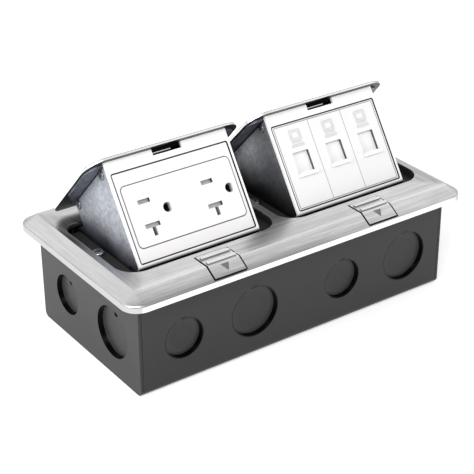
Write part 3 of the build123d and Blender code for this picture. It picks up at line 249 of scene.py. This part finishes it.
floor_mesh = bpy.data.meshes.new("studio_floor")
floor_shape = bmesh.new()
bmesh.ops.create_grid(floor_shape, x_segments=1, y_segments=1, size=6.0)
floor_shape.to_mesh(floor_mesh)
floor_shape.free()
floor = bpy.data.objects.new("studio_floor", floor_mesh)
scene.collection.objects.link(floor)

paper = Finish("white_paper", roughness=0.9)
paper.set("base color", (0.9, 0.9, 0.9))
paper.set("emission color", (1.0, 1.0, 1.0))
paper.set("emission strength", 0.36)
floor.data.materials.append(paper.material)

# Back box: a folded sheet makes front, floor and back, and a plate closes each end. Steel with
# satin charcoal enamel and a fine orange peel; the walls of the knockout recesses are painted
# black, partly for their sheared edge and partly as painted shade.

knockout_height = 0.0256
knockout_low = 0.0065
knockout_high = 0.0445
rim_depth = 0.0042
small_radius = 0.0113
large_radius = 0.0144


def enamel(name, across, outside, half_run, discs, turned_round):
    """Charcoal enamel for two walls that face along one axis, across.

    The walls stand at plus and minus outside and reach half_run to both sides. Black are the walls
    round the discs, for their sheared edge and as painted shade, the discs' punched lines, the
    corner seams and a line of painted shade along the foot. The second wall of a pair can be the
    first one turned round.
    """
    finish = Finish(name, specular_ior_level=0.35)
    cloud = finish.noise(finish.place, 38.0, 3.0)
    height = finish.along((0.0, 0.0, 1.0))
    # Painted light: the enamel is lighter towards the top and darker towards the floor
    low = finish.blend(cloud, (0.016, 0.0155, 0.0165), (0.021, 0.020, 0.0215))
    high = finish.blend(cloud, (0.023, 0.0225, 0.0235), (0.029, 0.028, 0.030))
    enamel_and_painted_light = finish.blend(finish.ease(height, 0.0, 0.055), low, high)
    facing = abs(finish.along(across, finish.facing))
    side = abs(finish.along(across))
    run = finish.along((across[1], across[0], 0.0))
    # Painted shade, with the sheared edge: the walls of the knockout recesses go black
    painted_shade_rim = (side < outside) * (side > outside - rim_depth) * (abs(run) < half_run - 0.005)
    painted_shade_rim = painted_shade_rim * (height > knockout_low) * (height < knockout_high) * (facing < 0.6)
    # Dark lines at the corner seams, and a line of painted shade along the foot
    line = (abs(run) > half_run) + (height < 0.0005)
    if turned_round:
        run = run * (1.0 - 2.0 * (finish.along(across) > 0.0))
    painted_disc_light = 0.0
    for middle, radius in discs:
        spot = finish.node("ShaderNodeCombineXYZ", {}, (run, height, 0.0))
        gap = finish.node(
            "ShaderNodeVectorMath", {"operation": "DISTANCE"},
            {0: spot, 1: (middle, knockout_height, 0.0)}, output="Value",
        )
        line = line + (abs(gap - radius) < 0.00055)
        # The tab that holds the disc, at its top
        tab = (abs(gap - radius - 0.0006) < 0.0007) * (abs(run - middle) < 0.0015)
        line = line + tab * (height > knockout_height)
        painted_disc_light = painted_disc_light + finish.ease(gap, radius - 0.0060, radius) * (gap < radius)
    # Painted light: the disc floors are paler towards their rims, against the shade by the recess
    # walls
    enamel_and_painted_light = finish.blend(painted_disc_light * (side < outside - 0.001), enamel_and_painted_light, (0.040, 0.039, 0.041))
    dark = finish.ease(painted_shade_rim + line * (facing > 0.6), 0.0, 0.9)
    finish.set("base color", finish.blend(dark, enamel_and_painted_light, (0.0, 0.0, 0.0)))
    finish.set("roughness", 0.32 + 0.12 * cloud - 0.22 * dark)
    finish.bump(finish.noise(finish.place, 1400.0, 2.0), 0.00002)
    return finish


wall_discs = (
    (-0.073, small_radius), (-0.029, large_radius), (0.029, small_radius), (0.073, large_radius)
)
end_discs = ((0.0225, small_radius), (-0.0235, large_radius))
enamel(
    "charcoal_enamel", (0.0, 1.0, 0.0), outside=0.0496, half_run=0.0977, discs=wall_discs,
    turned_round=True,
).give("box_shell")
enamel(
    "charcoal_enamel_ends", (1.0, 0.0, 0.0), outside=0.0996, half_run=0.0492, discs=end_discs,
    turned_round=False,
).give("box_end_left", "box_end_right")

# Divider between the power and the data side, and the inner frame on top of the box: pressed
# steel, electro-coated black. The frame's ledge is what shows beside the raised modules.

black_coat = Finish("black_coat")
coat_cloud = black_coat.noise(black_coat.place, 60.0, 3.0)
black_coat.set("base color", black_coat.blend(
    coat_cloud, (0.016, 0.015, 0.014), (0.030, 0.028, 0.026)))
black_coat.set("roughness", 0.42 + 0.2 * coat_cloud)
black_coat.bump(black_coat.noise(black_coat.place, 1600.0), 0.00002)
black_coat.give("inner_frame", "box_divider")

# Screws and nuts: rolled and tumbled steel. Those under the cover are bright zinc with a faint
# haze, those on the ledge are black zinc and those in the cheeks are a darker zinc.

zinc = Finish("bright_zinc", metallic=1.0)
zinc_haze = zinc.noise(zinc.place, 300.0, 3.0)
zinc.set("base color", zinc.blend(zinc_haze, (0.55, 0.56, 0.58), (0.78, 0.79, 0.81)))
zinc.set("roughness", 0.16 + 0.2 * zinc_haze)
zinc.give("cover_nuts", "latch_screws")

black_zinc = Finish("black_zinc", metallic=1.0)
black_haze = black_zinc.noise(black_zinc.place, 300.0, 3.0)
black_zinc.set("base color", black_zinc.blend(black_haze, (0.32, 0.32, 0.33), (0.60, 0.60, 0.61)))
black_zinc.set("roughness", 0.14 + 0.16 * black_haze)
black_zinc.give("frame_screws")

cheek_zinc = Finish("cheek_zinc", metallic=1.0)
cheek_haze = cheek_zinc.noise(cheek_zinc.place, 300.0, 3.0)
cheek_zinc.set("base color", cheek_zinc.blend(cheek_haze, (0.16, 0.165, 0.18), (0.36, 0.37, 0.40)))
cheek_zinc.set("roughness", 0.18 + 0.2 * cheek_haze)
cheek_zinc.give("left_housing_screws", "right_housing_screws")

# Earth screws, one in the back box and one on the receptacle: steel dipped in green lacquer, so
# that they can be told from the others.

earth_green = Finish("earth_green", metallic=0.6, roughness=0.35)
earth_green.set("base color", earth_green.blend(
    earth_green.noise(earth_green.place, 300.0), (0.02, 0.16, 0.05), (0.04, 0.25, 0.08)))
earth_green.give("ground_screw", "outlet_ground_screw")

# Seal under the cover and the cable bushings in the modules' rear walls: soft black rubber
# with a dusty bloom.

rubber = Finish("black_rubber", roughness=0.8)
rubber.set("base color", rubber.blend(
    rubber.noise(rubber.place, 120.0, 4.0), (0.016, 0.016, 0.016), (0.034, 0.033, 0.032)))
rubber.bump(rubber.noise(rubber.place, 2400.0), 0.00002)
rubber.give("cover_gasket", "left_cable_bushing", "right_cable_bushing")

# Cover frame, lids and latch slides: one stock of stainless sheet. The cover is brushed along
# each of its edges, so the grain turns at the mitres, and the lids are brushed along X.

cover_length = 0.217
cover_width = 0.117
cover_top = 0.0627
bevel_foot = cover_top - 0.0050
lip_top = cover_top - 0.0053
crease_y = 0.0507
fine_long = 36.0
fine_thin = 1300.0
broad_long = 5.0
broad_thin = 240.0
lid_out = Vector((0.0, 0.719340, 0.694658))


def reach(name, direction):
    """How far a node goes along a direction: the lowest and the highest point."""
    spots = [direction.dot(corner.co) for corner in nodes[name].data.vertices]
    return min(spots), max(spots)


lid_face = reach("left_lid", lid_out)[1]


def brushed(name, turns_at_corners, pressed):
    """Brushed stainless sheet; the grain runs along X, or along each edge of the cover.

    Pressed sheet has the bevels and the lip of the cover, and the other sheet is a lid.
    """
    finish = Finish(name, metallic=1.0, anisotropic=0.4)
    fine = finish.noise(finish.stretched(fine_long, fine_thin, fine_thin), 1.0, 3.0, 0.7)
    broad = finish.noise(finish.stretched(broad_long, broad_thin, broad_thin), 1.0, 2.0)
    grain = 0.65 * fine + 0.35 * broad
    if turns_at_corners:
        across_fine = finish.noise(finish.stretched(fine_thin, fine_long, fine_thin), 1.0, 3.0, 0.7)
        across_broad = finish.noise(finish.stretched(broad_thin, broad_long, broad_thin), 1.0, 2.0)
        to_end = cover_length / 2 - abs(finish.along((1.0, 0.0, 0.0)))
        to_side = cover_width / 2 - abs(finish.along((0.0, 1.0, 0.0)))
        turned = finish.ease(to_side - to_end, -0.004, 0.004)
        grain = grain * (1.0 - turned) + (0.65 * across_fine + 0.35 * across_broad) * turned
    steel = finish.ease(grain, 0.34, 0.66)
    sheet = finish.blend(steel, (0.64, 0.635, 0.64), (0.92, 0.915, 0.92))
    # Painted reflection: where the grain turns, the sheet is painted darker, for the other sheen of
    # the crossed grain
    if turns_at_corners:
        sheet = finish.blend(turned, sheet, finish.blend(
            steel, (0.50, 0.495, 0.50), (0.78, 0.775, 0.78)))
    gloss = 0.30 + 0.12 * steel
    if pressed:
        # Painted light on the long bevels: a painted highlight along the crease, and painted shade
        # at the foot that is stronger on the left
        height = finish.along((0.0, 0.0, 1.0))
        sloped = finish.ease(abs(finish.along((0.0, 1.0, 0.0), finish.facing)), 0.1, 0.4)
        painted_foot_shade = finish.ease(height, bevel_foot, cover_top - 0.0018, 1.0, 0.0) * sloped
        to_crease = abs(abs(finish.along((0.0, 1.0, 0.0))) - crease_y)
        painted_crease_highlight = finish.ease(to_crease, 0.0, 0.0022, 1.0, 0.0) * (height > cover_top - 0.0030)
        if turns_at_corners:
            painted_crease_highlight = painted_crease_highlight * (1.0 - turned)
        painted_foot_shade = painted_foot_shade * finish.ease(finish.along((1.0, 0.0, 0.0)), -0.02, 0.07, 0.75, 0.1)
        sheet = finish.blend(painted_foot_shade, sheet, (0.24, 0.235, 0.24))
        sheet = finish.blend(0.85 * painted_crease_highlight, sheet, (1.0, 1.0, 1.0))
        # A painted highlight on the bevels at the ends; on the lip, a painted highlight along the
        # long sides and painted shade at the ends
        end = finish.ease(abs(finish.along((1.0, 0.0, 0.0), finish.facing)), 0.1, 0.4)
        painted_end_highlight = end * (height > bevel_foot)
        sheet = finish.blend(painted_end_highlight * 0.4, sheet, (0.93, 0.93, 0.94))
        lip = height < lip_top
        sheet = finish.blend(lip * sloped, sheet, (0.92, 0.915, 0.92))
        sheet = finish.blend(lip * end, sheet, (0.55, 0.55, 0.56))
        gloss = gloss - 0.10 * painted_crease_highlight
    else:
        # Painted shade makes the lids nearly black underneath; their edge gets a painted highlight,
        # with a painted dark line of shade along its top
        toward = finish.along(lid_out, finish.facing)
        painted_underside_shade = finish.ease(toward, -0.8, -0.4, 1.0, 0.0)
        sheet = finish.blend(painted_underside_shade, sheet, (0.05, 0.05, 0.053))
        painted_edge_highlight = abs(toward) < 0.5
        sheet = finish.blend(painted_edge_highlight, sheet, (1.0, 1.0, 1.0))
        painted_edge_shade = painted_edge_highlight * (lid_face - finish.along(lid_out) < 0.0005)
        sideways = abs(finish.along((1.0, 0.0, 0.0), finish.facing)) > 0.35
        sheet = finish.blend(painted_edge_shade, sheet, (0.30, 0.30, 0.305))
        sheet = finish.blend(painted_edge_shade * sideways, sheet, (0.02, 0.02, 0.02))
    finish.tint = sheet
    finish.set("base color", finish.tint)
    finish.set("roughness", gloss)
    finish.bump(grain, 0.00002, 0.4)
    return finish


brushed("brushed_cover", True, True).give("cover_frame")
brushed("brushed_lids", False, False).give("left_lid", "right_lid")

# Latch slides: the same stainless sheet, pressed with two ribs for the finger and an arrow.
# Painted shade lies in the arrow and beside the ribs, painted highlights on the ribs' tops and the
# flat top, and the slides' sides and foot are painted near black for the shade in their gap.

bevel_out = Vector((0.0, -0.524097, 0.851658))
slide_top = 0.0629
slide_foot = 0.0587
slide_rim = 0.0094

slide = brushed("brushed_slides", False, True)
slide_height = slide.along((0.0, 0.0, 1.0))
slide_upward = slide.along((0.0, 0.0, 1.0), slide.facing)
below_bevel = bevel_out.dot(Vector((0.0, -crease_y, slide_top))) - slide.along(bevel_out)
# Painted shade in the engraved arrow
painted_arrow_shade = slide.ease(below_bevel, 0.0002, 0.0004) * (slide.along(bevel_out, slide.facing) > 0.9)
painted_arrow_shade = painted_arrow_shade * (slide.along((0.0, 1.0, 0.0)) < -crease_y - 0.0001)
# Painted shade along the sides of the ribs
painted_rib_shade = (slide_height > slide_top - 0.0002) * (slide_height < slide_top + 0.0006)
painted_rib_shade = painted_rib_shade * (slide_upward < 0.8)
# Painted shade: the sides and the foot of the slide go near black
painted_shade_rim = (abs(abs(slide.along((1.0, 0.0, 0.0))) - module_x) > slide_rim) + (slide_height < slide_foot)
# Painted highlights on the tops of the ribs and on the flat top
painted_rib_highlight = slide_height > slide_top + 0.0007
painted_top_highlight = 0.6 * (slide_upward > 0.9)
slide_tint = slide.blend(painted_top_highlight, slide.tint, (0.98, 0.975, 0.98))
slide_tint = slide.blend(painted_rib_highlight, slide_tint, (1.0, 1.0, 1.0))
slide_tint = slide.blend(0.75 * painted_arrow_shade + 0.8 * painted_rib_shade, slide_tint, (0.12, 0.12, 0.125))
slide.set("base color", slide.blend(slide.ease(painted_shade_rim, 0.0, 0.9), slide_tint, (0.01, 0.01, 0.01)))
slide.give("left_latch_button", "right_latch_button")

# Latch works under the slides: zinc-plated bolts on spring wire, in moulded guides that are
# screwed under the inner frame.

zinc.give("left_latch_bolt", "right_latch_bolt")

dark_plastic = Finish("dark_plastic", roughness=0.5)
dark_plastic.set("base color", dark_plastic.blend(
    dark_plastic.noise(dark_plastic.place, 80.0), (0.018, 0.018, 0.019), (0.030, 0.030, 0.031)))
dark_plastic.bump(dark_plastic.noise(dark_plastic.place, 1800.0), 0.00002)
dark_plastic.give("left_latch_guide", "right_latch_guide")

# Springs of the latches, hinges and shutters: hard-drawn wire with the streaks of the die. A copy
# stands for each rigid spring, which is hidden.

spring_wire = Finish("spring_wire", metallic=1.0)
wire_streak = spring_wire.noise(spring_wire.place, 700.0, 3.0)
spring_wire.set("base color", spring_wire.blend(
    wire_streak, (0.30, 0.30, 0.31), (0.46, 0.46, 0.47)))
spring_wire.set("roughness", 0.28 + 0.2 * wire_streak)
spring_wire.give(
    "left_latch_spring", "right_latch_spring", "left_hinge_springs", "right_hinge_springs",
    "data_shutter_spring_1", "data_shutter_spring_2", "data_shutter_spring_3",
)

face_up = Vector((0.0, 0.559193, 0.829038))
face_out = Vector((0.0, -0.829038, 0.559193))


def giving_spring(name, node, sides=(-1.0, 1.0)):
    """A copy of a rigid spring of the model, which stays hidden.

    It is the part of the rigid one that lies between the two sides, along X.
    """
    shape = bmesh.new()
    shape.from_mesh(nodes[node].data)
    others = [spot for spot in shape.verts if not sides[0] < spot.co.x < sides[1]]
    bmesh.ops.delete(shape, geom=others, context="VERTS")
    mesh = nodes[node].data.copy()
    shape.to_mesh(mesh)
    shape.free()
    spring = bpy.data.objects.new(name, mesh)
    scene.collection.objects.link(spring)
    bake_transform(spring)
    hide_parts(node)


for hand, toward in (("left", -1.0), ("right", 1.0)):
    middle = toward * module_x
    giving_spring(
        f"{hand}_latch_return_spring", f"{hand}_latch_spring",
    )
    # A torsion spring winds up along its coils, from the leg on the box to that on the module
    for end, sign in (("outer", toward), ("inner", -toward)):
        sides = (middle, 1.0) if sign > 0.0 else (-1.0, middle)
        giving_spring(
            f"{hand}_{end}_torsion_spring", f"{hand}_hinge_springs",
            sides,
        )

for number in (1, 2, 3):
    giving_spring(
        f"shutter_return_spring_{number}", f"data_shutter_spring_{number}",
    )

# Hinges: ground rods behind the openings, held by sprung clips, with washers of natural nylon
# between the cheeks and the ears.

zinc.give("hinge_rods", "hinge_clips")

nylon = Finish("nylon", roughness=0.45)
nylon.set("base color", nylon.blend(
    nylon.noise(nylon.place, 200.0), (0.70, 0.69, 0.64), (0.78, 0.77, 0.73)))
nylon.give("hinge_washers")

# Module housings and the plates under the lids: galvanised sheet with a fine spangle. The cheeks
# get painted shade below, the left ones also towards the rear and the right ones towards the front.
# The plates are a darker copy of the sheet, as painted shade, and painted black where they show
# through the latch slots.

frame_front = reach("left_face_frame", face_out)[1]
cheek_top = reach("left_module_housing", lid_out)[1] - 0.0007
rear_from = 0.018
rear_to = 0.044
front_from = 0.004
front_to = 0.030
slot_half_width = 0.0100
slot_depth = 0.0085


def zinc_sheet(name, dull, bright, shade, low, high, top, rear=0.0, front=0.0, metallic=0.8):
    """Galvanised sheet that turns to shade downwards from high to low, and above top.

    Rear and front say how much it does so towards the rear and the front of the module.
    """
    finish = Finish(name, metallic=metallic)
    cells = finish.node(
        "ShaderNodeTexVoronoi", {"feature": "F1"},
        {"Vector": finish.place, "Scale": 520.0}, output="Color",
    )
    spangle = finish.node("ShaderNodeSeparateColor", {}, (cells,), output="Red")
    cloud = finish.noise(finish.place, 55.0, 3.0)
    fleck = finish.noise(finish.place, 1300.0, 2.0)
    tone = 0.22 * spangle + 0.30 * cloud + 0.48 * fleck
    sheet = finish.blend(finish.ease(tone, 0.32, 0.68), dull, bright)
    height = finish.along((0.0, 0.0, 1.0)) + 0.010 * (cloud - 0.5)
    behind = frame_front - finish.along(face_out)
    # Painted shade: below, towards the rear or the front, and along the top under the lid
    unshaded = finish.ease(height, low, high)
    unshaded = unshaded * (1.0 - rear * finish.ease(behind, rear_from, rear_to))
    unshaded = unshaded * (1.0 - front * finish.ease(behind, front_from, front_to, 1.0, 0.0))
    unshaded = unshaded * (finish.along(lid_out) < top)
    finish.tint = finish.blend(unshaded, shade, sheet)
    finish.set("base color", finish.tint)
    finish.set("roughness", 0.38 + 0.2 * cloud)
    finish.bump(fleck, 0.00003, 0.4)
    return finish


zinc_sheet(
    "galvanised_left", (0.37, 0.39, 0.43), (0.55, 0.575, 0.63), (0.04, 0.042, 0.058),
    low=0.056, high=0.074, top=cheek_top, rear=0.3,
).give("left_module_housing", "outlet_strap")
# Painted light: the right cheeks are a brighter, less metallic copy of the sheet, against the left
# module's shadow
zinc_sheet(
    "galvanised_right", (0.60, 0.625, 0.68), (0.92, 0.95, 1.0), (0.008, 0.008, 0.009),
    low=0.060, high=0.090, top=cheek_top, front=0.78, metallic=0.3,
).give("right_module_housing")
# Painted shade: the plates under the lids are a darker copy of the sheet
plates = zinc_sheet(
    "galvanised_plates", (0.12, 0.13, 0.155), (0.25, 0.265, 0.31), (0.014, 0.014, 0.016),
    low=0.058, high=0.080, top=lid_face,
)
# Painted shade: black where the plates show through the latch slots
painted_slot_shade = (abs(plates.from_middle()) < slot_half_width) * (
    frame_front - plates.along(face_out) < slot_depth)
plates.set("base color", plates.blend(painted_slot_shade, plates.tint, (0.006, 0.006, 0.009)))
plates.give("left_lid_backing", "right_lid_backing")

# Latch keepers: a black pressed pocket behind each latch slot, painted darker still for the shade
# in the slot. A thin pale strip over it is a painted highlight along the left two thirds of the
# slot.


def face_plates(name, body, finish, places):
    """Thin plates parallel to a module's face, as one piece that rides on a body.

    A place is a middle and a size, both along X, up the face and out of it.
    """
    shape = bmesh.new()
    turn = Matrix((Vector((1.0, 0.0, 0.0)), face_up, -face_out)).transposed().to_4x4()
    for (x, up, out), (width, height, depth) in places:
        middle = Vector((x, 0.0, 0.0)) + face_up * up + face_out * out
        bmesh.ops.create_cube(
            shape, size=1.0,
            matrix=Matrix.Translation(middle) @ turn @ Matrix.Diagonal((width, height, depth, 1.0)),
        )
    mesh = bpy.data.meshes.new(name)
    shape.to_mesh(mesh)
    shape.free()
    mesh.materials.append(finish.material)
    piece = bpy.data.objects.new(name, mesh)
    scene.collection.objects.link(piece)
    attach(piece, body)


# Painted shade: the keepers are near black for the shade in the slots
keeper_black = Finish("keeper_black", roughness=0.5)
keeper_black.set("base color", keeper_black.blend(
    keeper_black.noise(keeper_black.place, 300.0), (0.003, 0.003, 0.005), (0.008, 0.007, 0.012)))
keeper_black.give("left_latch_keeper", "right_latch_keeper")

# A painted highlight: a thin pale strip that stands for the light line along the slot
highlight_shift = -0.0031
highlight_up = 0.0870
highlight_out = 0.0580
highlight_size = (0.0112, 0.0004, 0.0030)
painted_slot_highlight = Finish("painted_slot_highlight", metallic=0.5, roughness=0.4)
painted_slot_highlight.set("base color", painted_slot_highlight.blend(
    painted_slot_highlight.noise(painted_slot_highlight.place, 300.0), (0.66, 0.64, 0.74), (0.84, 0.82, 0.92)))
for hand, toward in (("left", -1.0), ("right", 1.0)):
    face_plates(
        f"{hand}_slot_highlight_strip", f"{hand}_module", painted_slot_highlight,
        [((toward * module_x + highlight_shift, highlight_up, highlight_out), highlight_size)],
    )

# Face frames: gloss white mouldings that close the front of each module. Their lower edge rolls
# inwards into the gap, where painted shade turns it near black, and a dark joint runs round the
# window.

frame_foot = reach("left_face_frame", face_up)[0]
window_u = 0.0352
window_v = 0.0237
plate_low, plate_high = reach("outlet_plate", face_up)
window_middle = (plate_low + plate_high) / 2


class Moulding(Finish):
    """White moulding of a module: it darkens with depth behind its own front.

    Walls that stand across the face darken too, as far as wall says.
    """

    def __init__(self, name, pale, paler, front, depths, shade, wall=0.0, **sockets):
        super().__init__(name, **sockets)
        self.tint = self.blend(self.noise(self.place, 60.0), pale, paler)
        self.bump(self.noise(self.place, 1600.0), 0.000008)
        self.depth = front - self.along(face_out)
        self.across = self.from_middle()
        self.up = self.along(face_up) - window_middle
        # Painted shade on walls that stand across the face
        if wall:
            steep = abs(self.along(face_out, self.facing)) < 0.7
            self.shade_with(steep * wall, shade)
        # Painted shade that deepens with depth behind the front
        self.shade_with(self.ease(self.depth, *depths), shade)

    def shade_with(self, mask, shade):
        """Paint a shade over the tint where the mask is."""
        self.tint = self.blend(mask, self.tint, shade)
        self.set("base color", self.tint)

    def joint(self, half_u, half_v, corner, width, shade):
        """A dark line along a rounded rectangle around the window's middle."""
        past_u = abs(self.across) - (half_u - corner)
        past_v = abs(self.up) - (half_v - corner)
        over_u = self.most(past_u, 0.0)
        over_v = self.most(past_v, 0.0)
        inside = self.least(self.most(past_u, past_v), 0.0)
        outside = self.node("ShaderNodeMath", {"operation": "SQRT"}, (
            over_u * over_u + over_v * over_v,))
        away = abs(outside + inside - corner)
        self.shade_with(self.ease(away, 0.4 * width, width, 1.0, 0.0), shade)

    def most(self, first, second):
        return self.node("ShaderNodeMath", {"operation": "MAXIMUM"}, (first, second))

    def least(self, first, second):
        return self.node("ShaderNodeMath", {"operation": "MINIMUM"}, (first, second))


frame_white = Moulding(
    "frame_white", (0.95, 0.95, 0.95), (0.98, 0.98, 0.98), frame_front, (0.0020, 0.0060),
    (0.10, 0.10, 0.105), roughness=0.2,
)
frame_white.joint(window_u, window_v, corner=0.001, width=0.00035, shade=(0.02, 0.02, 0.02))
# Painted shade: the rolled lower edge turns near black
above_foot = frame_white.along(face_up) - frame_foot
frame_white.shade_with(
    frame_white.ease(above_foot, 0.0010, 0.0028, 1.0, 0.0), (0.008, 0.008, 0.008))
frame_white.give("left_face_frame", "right_face_frame")

# Receptacle: a warm white plate and the bright white face with its slots. Painted shade deepens
# in the slots towards the contacts and is darkest on their right-hand walls, and a fine joint runs
# between plate and face. Behind them is a black body.

blade_row = 0.00635
slot_reach = 0.0012
insert_u = window_u - 0.0003
insert_v = window_v - 0.0003
outlet_u = 0.0327
outlet_v = 0.0162
outlet_corner = 0.0025
outlet_gap = 0.00015
plate_front = reach("outlet_plate", face_out)[1]
outlet_front = reach("outlet_face", face_out)[1]
plate_white = Moulding(
    "plate_white", (0.86, 0.845, 0.85), (0.89, 0.875, 0.88), plate_front, (0.0003, 0.0020),
    (0.03, 0.03, 0.03), wall=0.6, roughness=0.38,
)
plate_white.joint(insert_u, insert_v, corner=0.0007, width=0.0003, shade=(0.03, 0.03, 0.03))
plate_white.joint(
    outlet_u + outlet_gap, outlet_v + outlet_gap, corner=outlet_corner + outlet_gap,
    width=0.00035, shade=(0.10, 0.10, 0.10),
)
plate_white.give("outlet_plate")
outlet_white = Moulding(
    "outlet_white", (0.89, 0.89, 0.89), (0.92, 0.92, 0.92), outlet_front, (0.0002, 0.0040),
    (0.34, 0.34, 0.345), wall=0.1, roughness=0.28,
)
# Painted shade on the right-hand walls of the slots: black at the blade ends, half as dark on the
# stems
right_wall = (outlet_white.along((1.0, 0.0, 0.0), outlet_white.facing) < -0.7) * (
    outlet_white.depth > 0.0002)
from_row = abs(abs(outlet_white.up) - blade_row)
outlet_white.shade_with(right_wall * (from_row < slot_reach), (0.015, 0.015, 0.015))
stem = right_wall * (from_row > slot_reach) * (abs(outlet_white.up) > blade_row)
outlet_white.shade_with(0.5 * stem, (0.015, 0.015, 0.015))
outlet_white.joint(
    outlet_u, outlet_v, corner=outlet_corner, width=0.00025, shade=(0.25, 0.25, 0.25))
outlet_white.give("outlet_face")

dark_plastic.give("outlet_body")

# Safety shutters inside the blade slots: pale grey plates that show 2 mm behind the face, until
# a plug pushes them aside.

blade_places = (-0.0224, 0.0157)
shutter_depth = 0.0023
shutter_width = 0.0022
shutter_sheet = 0.0005
slot_shutters = []
for place in blade_places:
    for shift, row, length in ((0.0, blade_row, 0.0070), (0.0006, -blade_row, 0.0086)):
        spot = (place + shift - module_x, window_middle + row, outlet_front - shutter_depth)
        slot_shutters.append((spot, (length, shutter_width, shutter_sheet)))
shutter_grey = Finish("shutter_grey", roughness=0.4)
shutter_grey.set("base color", shutter_grey.blend(
    shutter_grey.noise(shutter_grey.place, 300.0), (0.40, 0.40, 0.42), (0.52, 0.52, 0.54)))
face_plates("receptacle_shutters", "left_module", shutter_grey, slot_shutters)

# Receptacle contacts and their screws: brass on the line side and for the earth, nickel-plated
# on the neutral side. The strap that holds the body has plated screws.

brass = Finish("brass", metallic=1.0)
brass_haze = brass.noise(brass.place, 300.0, 3.0)
brass.set("base color", brass.blend(brass_haze, (0.60, 0.42, 0.16), (0.76, 0.56, 0.26)))
brass.set("roughness", 0.25 + 0.2 * brass_haze)
brass.give("outlet_hot_bus", "outlet_hot_screws", "outlet_ground_bus")
zinc.give("outlet_neutral_bus", "outlet_neutral_screws", "outlet_strap_screws")

# Data insert: a carrier with three socket covers, each with a small computer in relief, and a
# sprung shutter in each window. Black jacks with gilt contact wires sit behind.

cover_u = 0.01125
cover_v = 0.0225
cover_gap = 0.0001
cover_front = reach("data_covers", face_out)[1]
carrier_front = reach("data_carrier", face_out)[1]
shutter_front = reach("data_shutter_2", face_out)[1]
carrier_white = Moulding(
    "carrier_white", (0.87, 0.86, 0.865), (0.90, 0.89, 0.895), carrier_front, (0.0003, 0.0020),
    (0.03, 0.03, 0.03), wall=0.6, roughness=0.38,
)
carrier_white.joint(insert_u, insert_v, corner=0.0007, width=0.0003, shade=(0.03, 0.03, 0.03))
carrier_white.joint(
    3 * cover_u + cover_gap, cover_v + cover_gap, corner=0.0003, width=0.0003,
    shade=(0.30, 0.30, 0.30),
)
carrier_white.give("data_carrier")
cover_white = Moulding(
    "cover_white", (0.87, 0.86, 0.865), (0.90, 0.89, 0.895), cover_front, (0.0010, 0.0030),
    (0.03, 0.03, 0.03), wall=0.35, roughness=0.40,
)
# Painted shade on the right-hand walls of the windows
window_wall = cover_white.along((1.0, 0.0, 0.0), cover_white.facing) < -0.7
cover_white.shade_with(
    0.95 * window_wall * (cover_white.depth > 0.0006), (0.02, 0.02, 0.02))
# Painted shade on the raised strokes of the computers, for the shading of their small walls
painted_relief_shade = cover_white.ease(cover_white.depth, 0.0001, 0.00025, 1.0, 0.0)
cover_white.shade_with(0.42 * painted_relief_shade, (0.45, 0.44, 0.445))
cover_white.joint(cover_u, cover_v, corner=0.0002, width=0.00025, shade=(0.35, 0.345, 0.35))
cover_white.joint(3 * cover_u, cover_v, corner=0.0003, width=0.0002, shade=(0.40, 0.40, 0.40))
cover_white.give("data_covers")
Moulding(
    "shutter_white", (0.95, 0.94, 0.945), (0.97, 0.965, 0.97), shutter_front, (0.0038, 0.0055),
    (0.05, 0.05, 0.05), wall=0.25, roughness=0.36,
).give("data_shutter_1", "data_shutter_2", "data_shutter_3")
dark_plastic.give("data_jacks")
brass.give("data_contacts")
